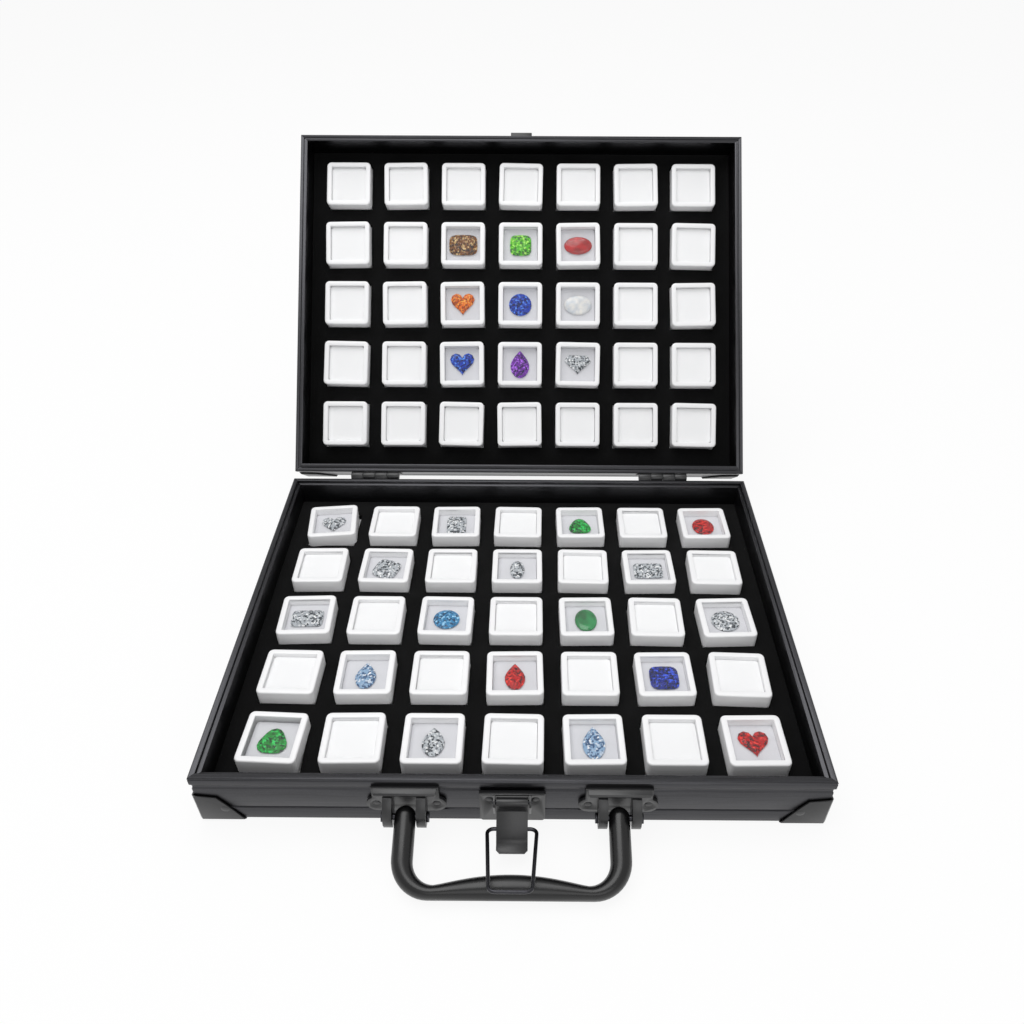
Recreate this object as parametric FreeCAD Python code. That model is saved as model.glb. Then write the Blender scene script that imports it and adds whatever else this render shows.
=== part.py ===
import FreeCAD, Part
import math
import os

# Jewelry organizer box: a black aluminium carrying case with seventy small gem boxes in foam.
# Millimetres, +Z up, origin at the middle of the underside, latch and handle towards -Y.
# The lid stands open as photographed; rows of gem boxes count from the back or the top edge.

V = FreeCAD.Vector
X_AXIS = V(1, 0, 0)
Y_AXIS = V(0, 1, 0)
Z_AXIS = V(0, 0, 1)
ORIGIN = V(0, 0, 0)

# Case
case_width = 300.0
case_depth = 230.0
base_height = 33.6  # table to the rim of the base
lid_height = 33.5  # outer skin of the lid to its rim
rim_gap = 0.3  # between the two rims when closed
opening_angle = 131.6  # from closed to the stop in the hinges

# Frame rails, as a hollow section measured inwards from the face and down from the rim
rail_depth = 5.0
rail_skin = 1.2
lip_height = 4.9
rail_edge = 0.5  # broken edges
rim_line_top = 0.8  # a thin shadow groove along the face, right below the rim
rim_line_width = 0.8
rim_line_depth = 0.5
cove_start = 5.6  # a shallow hollow along the face, below the lip
cove_height = 3.0
cove_depth = 0.8
belt_groove_top = 22.8
belt_groove_width = 1.3
belt_groove_depth = 1.1
belt_groove_slope = 0.3
lower_band_setback = 0.3
rim_strip = 2.2  # outer strip of the lid's rim
rim_groove = 1.1
rim_groove_depth = 0.6
tongue_rise = 1.4
tongue_clearance = 0.3
chamber_top = 3.0

# Panels held in slots of the rails
panel_thickness = 2.0
panel_clearance = 0.1
slot_height = panel_thickness + 2 * panel_clearance
slot_floor = 3.2  # how far in the slot starts

# Corner keys inside the rails
key_arm = 20.0
key_height = 14.0
key_end_gap = 1.0  # under the top of the rail's chamber

# Corner guards of pressed steel
guard_thickness = 0.8
guard_reach = 22.0
guard_height = 20.4
guard_corner_chamfer = 1.2
guard_shoulder = 0.52  # share of the reach where the lobe's top edge ends
guard_shoulder_drop = 1.8
guard_bulge = 0.76  # share of the reach at half height
guard_foot = 0.4  # share of the reach where the underside is cut across

# Foam inserts
foam_gap = 0.1
base_foam_thickness = 13.4
lid_foam_thickness = 13.5
base_pocket_floor = 1.1
lid_pocket_floor = 0.8
pocket_clearance = 0.3

# Gem boxes
box_size = 30.0
box_height = 20.5
box_border = 3.2
tray_height = 9.0
tray_floor = 1.2
window_thickness = 1.0
window_recess = 0.7
pad_top = 14.0
pad_clearance = 0.2
empty_pad_gap = 0.5  # from the pad of an empty box to its window
columns = 7
rows = 5
side_margin = 11.05  # from a side wall to the outermost boxes
end_margin = 11.9  # the same at the front and the back, before the grid is shifted
base_grid_shift = -2.4  # the grid sits this far behind the middle of the base
lid_grid_shift = 2.0
cover_wall = 1.6
cover_corner_radius = 2.8
cover_edge_chamfer = 0.7
tray_lip = 2.0
tray_fit = 0.15

# Hinges
hinge_spacing = 192.0
hinge_width = 32.0
barrel_radius = 2.5
barrel_gap = 0.25  # from the barrels to the rear face
hinge_pin_radius = 1.0
hinge_play = 0.05
knuckle_gap = 0.3
leaf_thickness = 1.0
leaf_height = 15.0
leaf_clearance = 0.6
barrel_sides = 14
bore_sides = 10

# Handle and its two brackets
handle_spacing = 99.6  # between the middles of the two legs
leg_back_gap = 0.9  # behind a leg's round end, to its bracket's plate
handle_pin_down = 18.0  # pivot below the rim
handle_droop = 18.6  # lying on the table, below level
leg_diameter = 10.0
handle_reach = 35.9  # pivot to the far edge of the grip
grip_thickness = 11.0
grip_end_thickness = 6.4
grip_depth = 10.6
swell_power = 1.2  # how the grip swells from its ends to its middle
grip_facets = 16
leg_dome_angles = (75, 50, 25)  # stations over the rounded end of a leg
bend_steps = 4  # stations round each bend
grip_stations = (0.7, 0.35)  # shares of the grip's half length
handle_outer_radius = 17.5
handle_inner_radius = 10.0
handle_pin_radius = 1.5
pin_play = 0.05
pin_head_size = 4.8  # across the flats
pin_head_thickness = 1.2
bracket_length = 37.4
bracket_thickness = 1.6
bracket_shoulder = 3.0  # the plate's upper part is this much shorter at each end
bracket_lobe_down = 17.0
bracket_lobe_radius = 5.2
bracket_rivet_spacing = 28.4
rivet_recess_radius = 3.0
rivet_recess_depth = 0.8
rivet_recess_floor = 0.55  # share of the radius at the bottom of the dish
roof_width = 29.3
roof_out = 4.8
roof_down = 4.4
roof_thickness = 2.2
roof_edge = 0.7
leg_clearance = 0.6  # from a leg to the ears beside it
ear_thickness = 4.4
ear_front = 4.5  # from the pin's middle to the front of an ear
ear_slope = 5.5  # out and down to the bend of the ear's top
ear_nose = 0.7
ear_under = 5.0  # below the pin
ear_heel = 2.6  # inwards of the pin, where the ear turns up to the plate
ear_toe_share = 0.7  # of ear_under, out and down, to the corner in front of the pin
ear_heel_share = 0.85  # of ear_under, down

# Draw latch
latch_width = 31.0
latch_top = 7.5
latch_bottom = 30.6
latch_thickness = 1.2
latch_corner = 1.2
latch_flange_out = 2.4
latch_flange_height = 1.0
latch_flange_end = 0.5  # shorter than the plate at each end
latch_rivet_spacing = 21.7
latch_rivet_down = 14.0
lever_width = 14.6
lever_pin_out = 4.2
lever_pin_down = 10.7
lever_pin_radius = 1.1
lever_pin_end = 0.4  # past the ears at each end
lever_eye_wall = 1.1
lever_sheet = 1.0
lever_back_start = (2.4, 3.8)  # points of the lever's side view: out from its pin, down from it
lever_back_end = (10.6, 9.4)
lever_dip = (11.6, 11.6)
lever_dip_end = (13.2, 13.4)
lever_tip = (17.3, 14.2)
lever_tip_corner = 1.5
latch_ear_thickness = 1.0
latch_ear_gap = 0.6
latch_ear_rim = 0.5  # around the lever's eye
latch_ear_length = 9.0  # below the pin
latch_ear_foot = 0.4  # how far the ear's lower end stands out past the pin's line
loop_wire = 1.8
loop_width = 25.0
loop_end_width = 20.4
loop_corner_radius = 3.0
loop_bend_steps = 4
wire_sides = 8
loop_out = 36.2  # pivot to the end bar, outwards
loop_up = 12.5  # pivot to the end bar, upwards
loop_pivot_out = 11.8
loop_pivot_down = 20.7
cheek_radius = 2.0
cheek_corner = (0.6, 0.8)  # shares of the radius, where the cheek's back edge meets its round end
cheek_thickness = 1.0
loop_end_gap = 0.3  # from the turned-in ends to the cheeks' inner faces
cheek_start = 5.0  # under the lever's pin
cheek_end = 12.0
lever_clearance = 0.35  # between the closed lever's cheeks and the plate

# Strike on the lid, measured above the rims when closed
strike_width = 30.0
strike_thickness = 1.2
strike_corner = 2.0
strike_below = 5.0  # the plate's ends below and above the hook's floor
strike_above = 8.0
hook_width = 14.5
hook_clearance = 0.3
hook_bend = 1.2
hook_height = 2.6  # floor to where the lip leans out
hook_lean = 1.1
hook_tip = 4.6
hook_inner_step = 0.4  # how much lower the lip's outer side starts to lean than its inner side
hook_tip_drop = 0.6
latched_angle = 38.0  # how far the lever turns to lie closed
hook_bar_out = 6.0  # end bar of the closed loop in front of the face

# Places worked out from the sizes above
front = -case_depth / 2
rear = case_depth / 2
column_pitch = (case_width - 2 * rail_depth - 2 * side_margin - box_size) / (columns - 1)
row_pitch = (case_depth - 2 * rail_depth - 2 * end_margin - box_size) / (rows - 1)
hinge_offset = barrel_radius + barrel_gap  # axis behind the rear face
ear_gap = leg_diameter + 2 * leg_clearance
handle_pin_out = bracket_thickness + leg_diameter / 2 + leg_back_gap  # pivot in front of the face
ear_out = handle_pin_out + ear_front
lever_eye_radius = lever_pin_radius + lever_eye_wall
hinge_y = rear + hinge_offset
hinge_z = base_height + rim_gap / 2
base_rail_height = base_height - guard_thickness
window_size = box_size - 2 * box_border
under_panel = slot_height + rail_skin - panel_clearance  # rail's bottom edge to the panel's top

# What lies in the boxes: row, column, cut, width, length, turn in degrees
base_contents = [
    (1, 1, "heart", 15.5, 14.5, 0),
    (1, 3, "emerald", 12.3, 17.5, 0),
    (1, 5, "trillion", 14.0, 14.5, 0),
    (1, 7, "oval", 13.8, 15.5, 0),
    (2, 2, "cushion", 15.0, 15.5, -20),
    (2, 4, "oval", 8.7, 15.5, 0),
    (2, 6, "emerald", 17.7, 13.0, 0),
    (3, 1, "emerald", 18.0, 12.5, 0),
    (3, 3, "oval", 15.0, 14.5, 0),
    (3, 5, "cabochon", 12.6, 17.0, 0),
    (3, 7, "oval", 16.0, 15.5, 0),
    (4, 2, "pear", 11.0, 17.5, 0),
    (4, 4, "pear", 10.8, 17.5, 0),
    (4, 6, "cushion", 15.5, 15.5, 0),
    (5, 3, "pear", 11.2, 17.0, 0),
    (5, 5, "pear", 11.2, 18.8, 0),
    (5, 7, "heart", 15.4, 15.0, 0),
]
lid_contents = [
    (2, 3, "cushion", 19.6, 14.4, 0),
    (2, 4, "cushion", 14.7, 14.4, 0),
    (2, 5, "cabochon", 19.3, 12.3, 0),
    (3, 3, "heart", 16.3, 15.2, 0),
    (3, 4, "oval", 15.5, 15.5, 0),
    (3, 5, "cabochon", 19.0, 13.4, 0),
    (4, 3, "heart", 16.6, 15.2, 0),
    (4, 4, "pear", 12.8, 18.8, 0),
    (4, 5, "profile", 18.3, 13.0, 0),
]
loose_box = (5, 1)  # the gem box of the base that is modelled to lift out
loose_stone = ("trillion", 14.6, 14.6)
facet_depths = (1.6, 2.6, 0.58)  # pavilion and crown heights of a faceted stone, and its table's share
cabochon_depths = (0.6, 3.4, 0.5)
cushion_corner = 0.5  # clipped corners, as shares of the half width
emerald_corner = 0.36

# How far each gem box is turned in its pocket, in degrees, row by row
base_turns = [
    (-1, 0, 1, -1, 1, 0, 1),
    (1, -1, 0, 0, -1, 1, -1),
    (2, 0, -1, 0, 1, -1, 2),
    (-1, 1, 0, 1, 0, 1, -2),
    (1, 1, 0, -1, 1, 0, 1),
]
lid_turns = [
    (0, 1, 0, -1, 0, 1, 0),
    (1, 0, 0, 0, 1, 0, -1),
    (0, 1, 1, 0, 0, 0, 1),
    (-1, 0, 1, 0, -1, 0, 0),
    (0, 0, -1, 1, 0, 0, -1),
]

nodes = {}


def add(name, *solids):
    nodes[name] = solids[0] if len(solids) == 1 else Part.makeCompound(list(solids))


def wire(start, steps):
    # A step is an end point, or a middle and an end for an arc; the wire closes itself.
    edges = []
    here = start
    for step in steps:
        if isinstance(step, tuple):
            edges.append(Part.Arc(here, step[0], step[1]).toShape())
            here = step[1]
        else:
            edges.append(Part.LineSegment(here, step).toShape())
            here = step
    edges.append(Part.LineSegment(here, start).toShape())
    return Part.Wire(edges)


def sheet(points):
    return Part.Face(wire(points[0], points[1:]))


def prism(points, bottom, height):
    # A plan outline raised along Z.
    return sheet([V(x, y, bottom) for x, y in points]).extrude(V(0, 0, height))


def box(x0, x1, y0, y1, z0, z1):
    return Part.makeBox(x1 - x0, y1 - y0, z1 - z0, V(x0, y0, z0))


def rod(radius, x0, x1, y, z):
    # A cylinder along X.
    return Part.makeCylinder(radius, x1 - x0, V(x0, y, z), X_AXIS)


def flat_ring(radius, sides, z=0):
    # A regular outline whose flats, not its corners, lie at the radius.
    corner = radius / math.cos(math.pi / sides)
    turns = [2 * math.pi * (n + 0.5) / sides for n in range(sides)]
    points = [V(corner * math.cos(t), corner * math.sin(t), z) for t in turns]
    return Part.makePolygon(points + [points[0]])


def flat_rod(radius, sides, x0, x1, y, z):
    # Along X too, with flat sides: for barrels, small bores and pin heads.
    bar = Part.Face(flat_ring(radius, sides)).extrude(V(0, 0, x1 - x0))
    return moved(turned(bar, 90, Y_AXIS), x0, y, z)


def facet(points):
    return Part.Face(Part.makePolygon(points + [points[0]]))


def closed(faces):
    solid = Part.Solid(Part.Shell(faces))
    if solid.Volume < 0:
        solid.reverse()
    return solid


def faceted(sections):
    # A solid over a row of outlines, all with as many points, covered in flat triangles.
    faces = [facet(sections[0]), facet(sections[-1])]
    for near, far in zip(sections, sections[1:]):
        for n, here in enumerate(near):
            after = (n + 1) % len(near)
            faces.append(facet([here, near[after], far[after]]))
            faces.append(facet([here, far[after], far[n]]))
    return closed(faces)


def chamfered(shape, size, axis):
    # Breaks the edges that run along an axis.
    return shape.makeChamfer(size, edges_along(shape, axis))


def edges_along(shape, axis):
    return [e for e in shape.Edges if abs(e.tangentAt(e.FirstParameter).dot(axis)) > 0.9]


def turned(shape, angle, axis=Z_AXIS, about=ORIGIN):
    copy = shape.copy()
    copy.rotate(about, axis, angle)
    return copy


def moved(shape, x, y, z):
    copy = shape.copy()
    copy.translate(V(x, y, z))
    return copy


def mirrored(shape):
    return shape.mirror(ORIGIN, X_AXIS)


def in_base(shape):
    # Pieces of either half are drawn with the rim at zero height and the foam side up.
    return moved(shape, 0, 0, base_height)


def in_lid(shape):
    # Laid flat behind the base, then tipped up about the hinge to the photographed angle.
    flat = moved(shape, 0, hinge_y + hinge_offset + case_depth / 2, hinge_z - rim_gap / 2)
    return turned(flat, 180 - opening_angle, X_AXIS, V(0, hinge_y, hinge_z))


def closed_lid(shape):
    # Pieces drawn where they are with the lid shut, swung open with it.
    return turned(shape, -opening_angle, X_AXIS, V(0, hinge_y, hinge_z))


# Frame rails


def rail_section(height, has_tongue):
    def at(inwards, down):
        return V(0, inwards, -down)

    cove_end = cove_start + cove_height
    groove_end = belt_groove_top + belt_groove_width
    steps = [
        at(0, rail_edge),
        at(0, rim_line_top),
        at(rim_line_depth, rim_line_top + rim_line_width / 2),
        at(0, rim_line_top + rim_line_width),
        at(0, lip_height),
        at(cove_depth / 2, cove_start),
        (at(cove_depth, (cove_start + cove_end) / 2), at(cove_depth / 2, cove_end)),
        at(lower_band_setback, belt_groove_top - belt_groove_slope),
        at(belt_groove_depth, belt_groove_top),
        at(belt_groove_depth, groove_end - belt_groove_slope),
        at(lower_band_setback, groove_end),
        at(lower_band_setback, height - rail_edge),
        at(lower_band_setback + rail_edge, height),
        at(rail_depth, height),
        at(rail_depth, height - rail_skin),
        at(slot_floor, height - rail_skin),
        at(slot_floor, height - rail_skin - slot_height),
        at(rail_depth, height - rail_skin - slot_height),
    ]
    tongue_start = rim_strip + rim_groove
    if has_tongue:
        steps += [
            at(rail_depth, -tongue_rise),
            at(tongue_start, -tongue_rise),
            at(tongue_start, rim_groove_depth),
            at(rim_strip, rim_groove_depth),
            at(rim_strip, 0),
        ]
    else:
        recess = tongue_rise + 2 * tongue_clearance
        steps += [
            at(rail_depth, recess),
            at(tongue_start - tongue_clearance, recess),
            at(tongue_start - tongue_clearance, 0),
        ]
    skin = wire(at(rail_edge, 0), steps)
    outer = belt_groove_depth + rail_skin
    inner = rail_depth - rail_skin
    floor = height - rail_skin - slot_height - rail_skin
    chamber = wire(at(outer, chamber_top), [at(inner, chamber_top), at(inner, floor), at(outer, floor)])
    return skin, chamber


def rail(length, height, has_tongue):
    # Runs along X with its face at y = 0, mitred at both ends.
    skin, chamber = rail_section(height, has_tongue)
    run = V(length, 0, 0)
    bar = Part.Face(skin).extrude(run).cut(Part.Face(chamber).extrude(run))
    bar = moved(bar, -length / 2, 0, 0)
    half = length / 2
    mitres = [(-half, 0), (half, 0), (half - rail_depth, rail_depth), (rail_depth - half, rail_depth)]
    return bar.common(prism(mitres, -height - 1, height + 1 + 2 * tongue_rise))


def frame_rails(half, sides, height, has_tongue, place):
    # The four sides are named anticlockwise from the one at -Y.
    for turn, side in enumerate(sides):
        length, across = (case_width, case_depth) if turn % 2 == 0 else (case_depth, case_width)
        bar = moved(rail(length, height, has_tongue), 0, -across / 2, 0)
        add(f"{half}_{side}_rail", place(turned(bar, 90 * turn)))


def corner_keys(height):
    # Flat angles pushed into the hollow rails to hold the mitres together.
    inset = belt_groove_depth + rail_skin + panel_clearance
    thickness = rail_depth - rail_skin - panel_clearance - inset
    top = -(chamber_top + key_end_gap)
    x = -case_width / 2 + inset
    y = front + inset
    plan = [(x, y), (x + key_arm, y), (x + key_arm, y + thickness)]
    plan += [(x + thickness, y + thickness), (x + thickness, y + key_arm), (x, y + key_arm)]
    return four_corners(prism(plan, top - key_height, key_height))


def four_corners(piece):
    # The front left piece, repeated at the other corners as mirror images.
    pair = [piece, mirrored(piece)]
    return pair + [p.mirror(ORIGIN, Y_AXIS) for p in pair]


def panel(height):
    reach = slot_floor + panel_clearance
    top = -(height - under_panel)
    x = case_width / 2 - reach
    y = case_depth / 2 - reach
    return box(-x, x, -y, y, top - panel_thickness, top)


def corner_guards(height):
    # A pressed cap over each outer corner, cut to a lobe on both faces and across the bottom.
    floor = -height - guard_thickness
    x0 = -case_width / 2 - guard_thickness
    y0 = front - guard_thickness
    cap = box(x0, x0 + guard_reach, y0, y0 + guard_reach, floor, floor + guard_height)
    outer_edges = [e for e in cap.Edges if on_outer_corner(e, x0, y0, floor)]
    cap = cap.makeChamfer(guard_corner_chamfer, outer_edges)
    far = guard_reach + 1
    inner_x, inner_y = x0 + guard_thickness, y0 + guard_thickness
    core = box(inner_x, inner_x + far, inner_y, inner_y + far, -height, 0)
    cap = cap.cut(core)
    cap = cap.cut(lobe_waste(floor).translated(V(x0, y0 - 1, 0)))
    side = mirrored(turned(lobe_waste(floor), 90))
    cap = cap.cut(side.translated(V(x0 - 1, y0, 0)))
    step = guard_reach * guard_foot
    cut = prism([(x0 + far, y0 + step), (x0 + far, y0 + far), (x0 + step, y0 + far)], floor - 1, 3)
    return four_corners(cap.cut(cut))


def on_outer_corner(edge, x, y, z):
    # True for the three edges of a block that meet in its outer corner.
    ends = [v.Point for v in edge.Vertexes]
    return any(p.isEqual(V(x, y, z), 0.01) for p in ends)


def lobe_waste(floor):
    # What is cut from a guard's face above its top edge and beyond its curved end.
    top = floor + guard_height
    high = top + 1
    reach = guard_reach + 1
    shoulder = V(guard_reach * guard_shoulder, 0, top - guard_shoulder_drop)
    curve = (V(guard_reach * guard_bulge, 0, floor + guard_height / 2), V(guard_reach, 0, floor))
    steps = [shoulder, curve, V(reach, 0, floor), V(reach, 0, high), V(0, 0, high)]
    return Part.Face(wire(V(0, 0, top), steps)).extrude(V(0, guard_reach + 2, 0))


# Gem boxes in their foam


def box_middle(row, column, shift):
    x = (column - (columns + 1) / 2) * column_pitch
    y = ((rows + 1) / 2 - row) * row_pitch + shift
    return x, y


def square(size):
    half = size / 2
    return [(-half, -half), (half, -half), (half, half), (-half, half)]


def clipped_square(size, corner):
    half = size / 2
    cut = half - corner
    right = [(cut, -half), (half, -cut), (half, cut), (cut, half)]
    return right + [(-x, y) for x, y in reversed(right)]


def foam_insert(height, thickness, pocket_floor, turns, shift):
    inside = rail_depth + foam_gap
    bottom = -(height - under_panel)
    x = case_width / 2 - inside
    y = case_depth / 2 - inside
    slab = box(-x, x, -y, y, bottom, bottom + thickness)
    pocket = prism(square(box_size + 2 * pocket_clearance), bottom + pocket_floor, thickness)
    pockets = []
    for row in range(1, rows + 1):
        for column in range(1, columns + 1):
            middle = box_middle(row, column, shift)
            pockets.append(moved(turned(pocket, turns[row - 1][column - 1]), middle[0], middle[1], 0))
    return slab.cut(pockets)


def plain_cover():
    frame = prism(square(box_size), tray_height, box_height - tray_height)
    return frame.cut(prism(square(window_size), tray_height - 1, box_height))


def plain_tray(is_open):
    # An empty box's tray is filled by its pad; a box that shows a stone has an open tray.
    tray = prism(square(box_size), 0, tray_height)
    if is_open:
        tray = tray.cut(prism(square(window_size), tray_floor, tray_height))
    return tray


def window(size):
    top = box_height - window_recess
    return prism(square(size), top - window_thickness, window_thickness)


def pad(is_open):
    # A stone lies on a low pad; in an empty box the pad fills the cover up to its window.
    low = tray_floor
    high = pad_top
    if not is_open:
        low = tray_height
        high = box_height - window_recess - window_thickness - empty_pad_gap
    return prism(square(window_size - 2 * pad_clearance), low, high - low)


def rounded_cover():
    half = box_size / 2
    cover = box(-half, half, -half, half, tray_height, box_height)
    cover = cover.makeFillet(cover_corner_radius, edges_along(cover, Z_AXIS))
    top = [e for e in cover.Edges if min(v.Z for v in e.Vertexes) > box_height - 0.01]
    cover = cover.makeChamfer(cover_edge_chamfer, top)
    cavity = box_height - window_recess - tray_height
    cover = cover.cut(prism(square(box_size - 2 * cover_wall), tray_height, cavity))
    return cover.cut(prism(square(window_size), tray_height, box_height))


def rounded_tray():
    half = box_size / 2
    tray = box(-half, half, -half, half, 0, tray_height)
    tray = tray.makeFillet(cover_corner_radius, edges_along(tray, Z_AXIS))
    inner = box_size - 2 * cover_wall - 2 * tray_fit
    tray = tray.fuse(prism(square(inner), tray_height, tray_lip))
    return tray.cut(prism(square(window_size), tray_floor, tray_height + tray_lip))


# Cut stones, simplified to a table, a crown and a pavilion


def both_sides(top, left, bottom):
    return [top] + left + [bottom] + [(-x, y) for x, y in reversed(left)]


def stone_outline(cut, width, length):
    if cut in ("oval", "cabochon"):
        turns = [math.radians(22.5 + 45 * n) for n in range(8)]
        grow = 1 / math.cos(math.radians(22.5)) if cut == "oval" else 1.0
        shape = [(grow * math.cos(t), grow * math.sin(t)) for t in turns]
    elif cut == "cushion":
        shape = clipped_square(2, cushion_corner)
    elif cut == "emerald":
        shape = clipped_square(2, emerald_corner)
    elif cut == "trillion":
        shape = both_sides((0, 1), [(-0.72, 0.15), (-1, -0.72)], (0, -1))
    elif cut == "pear":
        shape = both_sides((0, 1), [(-0.62, 0.2), (-1, -0.42), (-0.62, -0.9)], (0, -1))
    elif cut == "heart":
        shape = both_sides((0, 0.62), [(-0.5, 1), (-1, 0.5), (-0.66, -0.36)], (0, -1))
    else:
        # Seen from the side, lying on its pavilion: a flat table and a pointed culet.
        shape = [(-0.6, 1), (-1, 0.35), (0, -1), (1, 0.35), (0.6, 1)]
    return [(x * width / 2, y * length / 2) for x, y in shape]


def stone(cut, width, length, turn):
    pavilion, crown, table = cabochon_depths if cut == "cabochon" else facet_depths
    outline = stone_outline(cut, width, length)
    girdle = [V(x, y, pad_top + pavilion) for x, y in outline]
    top = [V(x * table, y * table, pad_top + pavilion + crown) for x, y in outline]
    low = V(0, 0, pad_top)
    faces = [facet(top)]
    for n, here in enumerate(girdle):
        after = (n + 1) % len(girdle)
        faces.append(facet([here, girdle[after], top[after], top[n]]))
        faces.append(facet([here, girdle[after], low]))
    return turned(closed(faces), turn)


def fill_half(half, place, bottom, turns, shift, contents):
    stones = {(c[0], c[1]): c for c in contents}
    cover = plain_cover()
    trays = {True: plain_tray(True), False: plain_tray(False)}
    glass = window(window_size)
    windows, pads, gems = [], [], []
    for row in range(1, rows + 1):
        row_covers, row_trays = [], []
        for column in range(1, columns + 1):
            if half == "base" and (row, column) == loose_box:
                continue
            middle = box_middle(row, column, shift)

            def seat(shape):
                return place(moved(turned(shape, turns[row - 1][column - 1]), middle[0], middle[1], bottom))

            found = stones.get((row, column))
            row_covers.append(seat(cover))
            row_trays.append(seat(trays[found is not None]))
            windows.append(seat(glass))
            pads.append(seat(pad(found is not None)))
            if found:
                gems.append(seat(stone(*found[2:])))
        add(f"{half}_row_{row}_covers", *row_covers)
        add(f"{half}_row_{row}_trays", *row_trays)
    add(half + "_windows", *windows)
    add(half + "_pads", *pads)
    add(half + "_stones", *gems)


def fill_loose_box(bottom):
    row, column = loose_box
    middle = box_middle(row, column, base_grid_shift)
    glass_size = box_size - 2 * cover_wall - 2 * tray_fit
    pieces = {
        "gem_box_tray": rounded_tray(),
        "gem_box_pad": pad(True),
        "gem_box_stone": stone(*loose_stone, 0),
        "gem_box_cover": rounded_cover(),
        "gem_box_window": window(glass_size),
    }
    for name, shape in pieces.items():
        turn = base_turns[row - 1][column - 1]
        add(name, in_base(moved(turned(shape, turn), middle[0], middle[1], bottom)))


# Hinges


def knuckles(x, is_base):
    # Four knuckles share one barrel; the base carries the first and the third.
    pitch = hinge_width / 4
    spans = []
    for n in range(4):
        if (n % 2 == 0) == is_base:
            start = x - hinge_width / 2 + n * pitch
            spans.append((start + knuckle_gap / 2, start + pitch - knuckle_gap / 2))
    return spans


def hinge_leaf(x, is_base):
    # Drawn with the lid shut: the base's leaf hangs below the axis and the lid's stands above.
    side = -1 if is_base else 1
    near = hinge_z + side * (barrel_radius + leaf_clearance)
    far = hinge_z + side * leaf_height
    low, high = min(near, far), max(near, far)
    leaf = box(x - hinge_width / 2, x + hinge_width / 2, rear, rear + leaf_thickness, low, high)
    for x0, x1 in knuckles(x, is_base):
        low, high = min(near, hinge_z), max(near, hinge_z)
        leaf = leaf.fuse(box(x0, x1, rear, rear + leaf_thickness, low, high))
        leaf = leaf.fuse(flat_rod(barrel_radius, barrel_sides, x0, x1, hinge_y, hinge_z))
    low, high = near - leaf_height, near + leaf_height
    inside = box(x - hinge_width, x + hinge_width, rear - barrel_radius, rear, low, high)
    leaf = leaf.cut(inside)
    bore = hinge_pin_radius + hinge_play
    leaf = leaf.cut(flat_rod(bore, bore_sides, x - hinge_width, x + hinge_width, hinge_y, hinge_z))
    return leaf.removeSplitter()


def hinges():
    places = (-hinge_spacing / 2, hinge_spacing / 2)
    add("hinge_base_leaves", *[hinge_leaf(x, True) for x in places])
    add("hinge_lid_leaves", *[closed_lid(hinge_leaf(x, False)) for x in places])
    half = hinge_width / 2
    add("hinge_pins", *[rod(hinge_pin_radius, x - half, x + half, hinge_y, hinge_z) for x in places])


# Handle


def oval(middle, across, half_width, half_height, sides):
    # A many-sided outline that stands on the XY plane, across being a direction in that plane.
    points = []
    for n in range(sides):
        t = 2 * math.pi * (n + 0.5) / sides
        points.append(middle + across * (half_width * math.cos(t)) + Z_AXIS * (half_height * math.sin(t)))
    return points


def swell(x, half):
    return (1 - (x / half) ** 2) ** swell_power


def handle_stations():
    # Outer and inner edge points and the depth, from a leg's domed end to near the grip's middle.
    leg_x = -handle_spacing / 2
    radius = leg_diameter / 2
    outer_x = leg_x - radius
    inner_x = leg_x + radius
    stations = []
    for angle in leg_dome_angles:
        half = radius * math.cos(math.radians(angle))
        y = radius * math.sin(math.radians(angle))
        stations.append((V(leg_x - half, y, 0), V(leg_x + half, y, 0), 2 * half))
    outer_centre = V(outer_x + handle_outer_radius, handle_outer_radius - handle_reach, 0)
    grip_inner = grip_end_thickness - handle_reach
    inner_centre = V(inner_x + handle_inner_radius, grip_inner + handle_inner_radius, 0)
    stations.append((V(outer_x, 0, 0), V(inner_x, 0, 0), leg_diameter))
    for step in range(bend_steps + 1):
        t = math.pi / 2 * step / bend_steps
        out = V(-math.cos(t), -math.sin(t), 0)
        outer = outer_centre + out * handle_outer_radius
        stations.append((outer, inner_centre + out * handle_inner_radius, leg_diameter))
    half = -inner_centre.x
    for share in grip_stations:
        x = -half * share
        rise = swell(x, half)
        inner = grip_inner + (grip_thickness - grip_end_thickness) * rise
        depth = leg_diameter + (grip_depth - leg_diameter) * rise
        stations.append((V(x, -handle_reach, 0), V(x, inner, 0), depth))
    return stations


def handle():
    left = handle_stations()
    middle = (V(0, -handle_reach, 0), V(0, grip_thickness - handle_reach, 0), grip_depth)
    right = [(V(-o.x, o.y, 0), V(-i.x, i.y, 0), depth) for o, i, depth in reversed(left)]
    sections = []
    for outer, inner, depth in left + [middle] + right:
        across = inner - outer
        width = across.Length
        across.normalize()
        sections.append(oval((outer + inner) / 2, across, width / 2, depth / 2, grip_facets))
    body = faceted(sections)
    for x in (-handle_spacing / 2, handle_spacing / 2):
        half = leg_diameter / 2 + 1
        body = body.cut(flat_rod(handle_pin_radius + pin_play, bore_sides, x - half, x + half, 0, 0))
    body = turned(body, handle_droop, X_AXIS)
    return moved(body, 0, front - handle_pin_out, base_height - handle_pin_down)


def handle_pin(x):
    half = ear_gap / 2 + ear_thickness
    y = front - handle_pin_out
    z = base_height - handle_pin_down
    pin = rod(handle_pin_radius, x - half, x + half, y, z)
    head = flat_rod(pin_head_size / 2, 6, x - half - pin_head_thickness, x - half, y, z)
    nut = flat_rod(pin_head_size / 2, 6, x + half, x + half + pin_head_thickness, y, z)
    return pin.fuse([head, nut])


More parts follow.
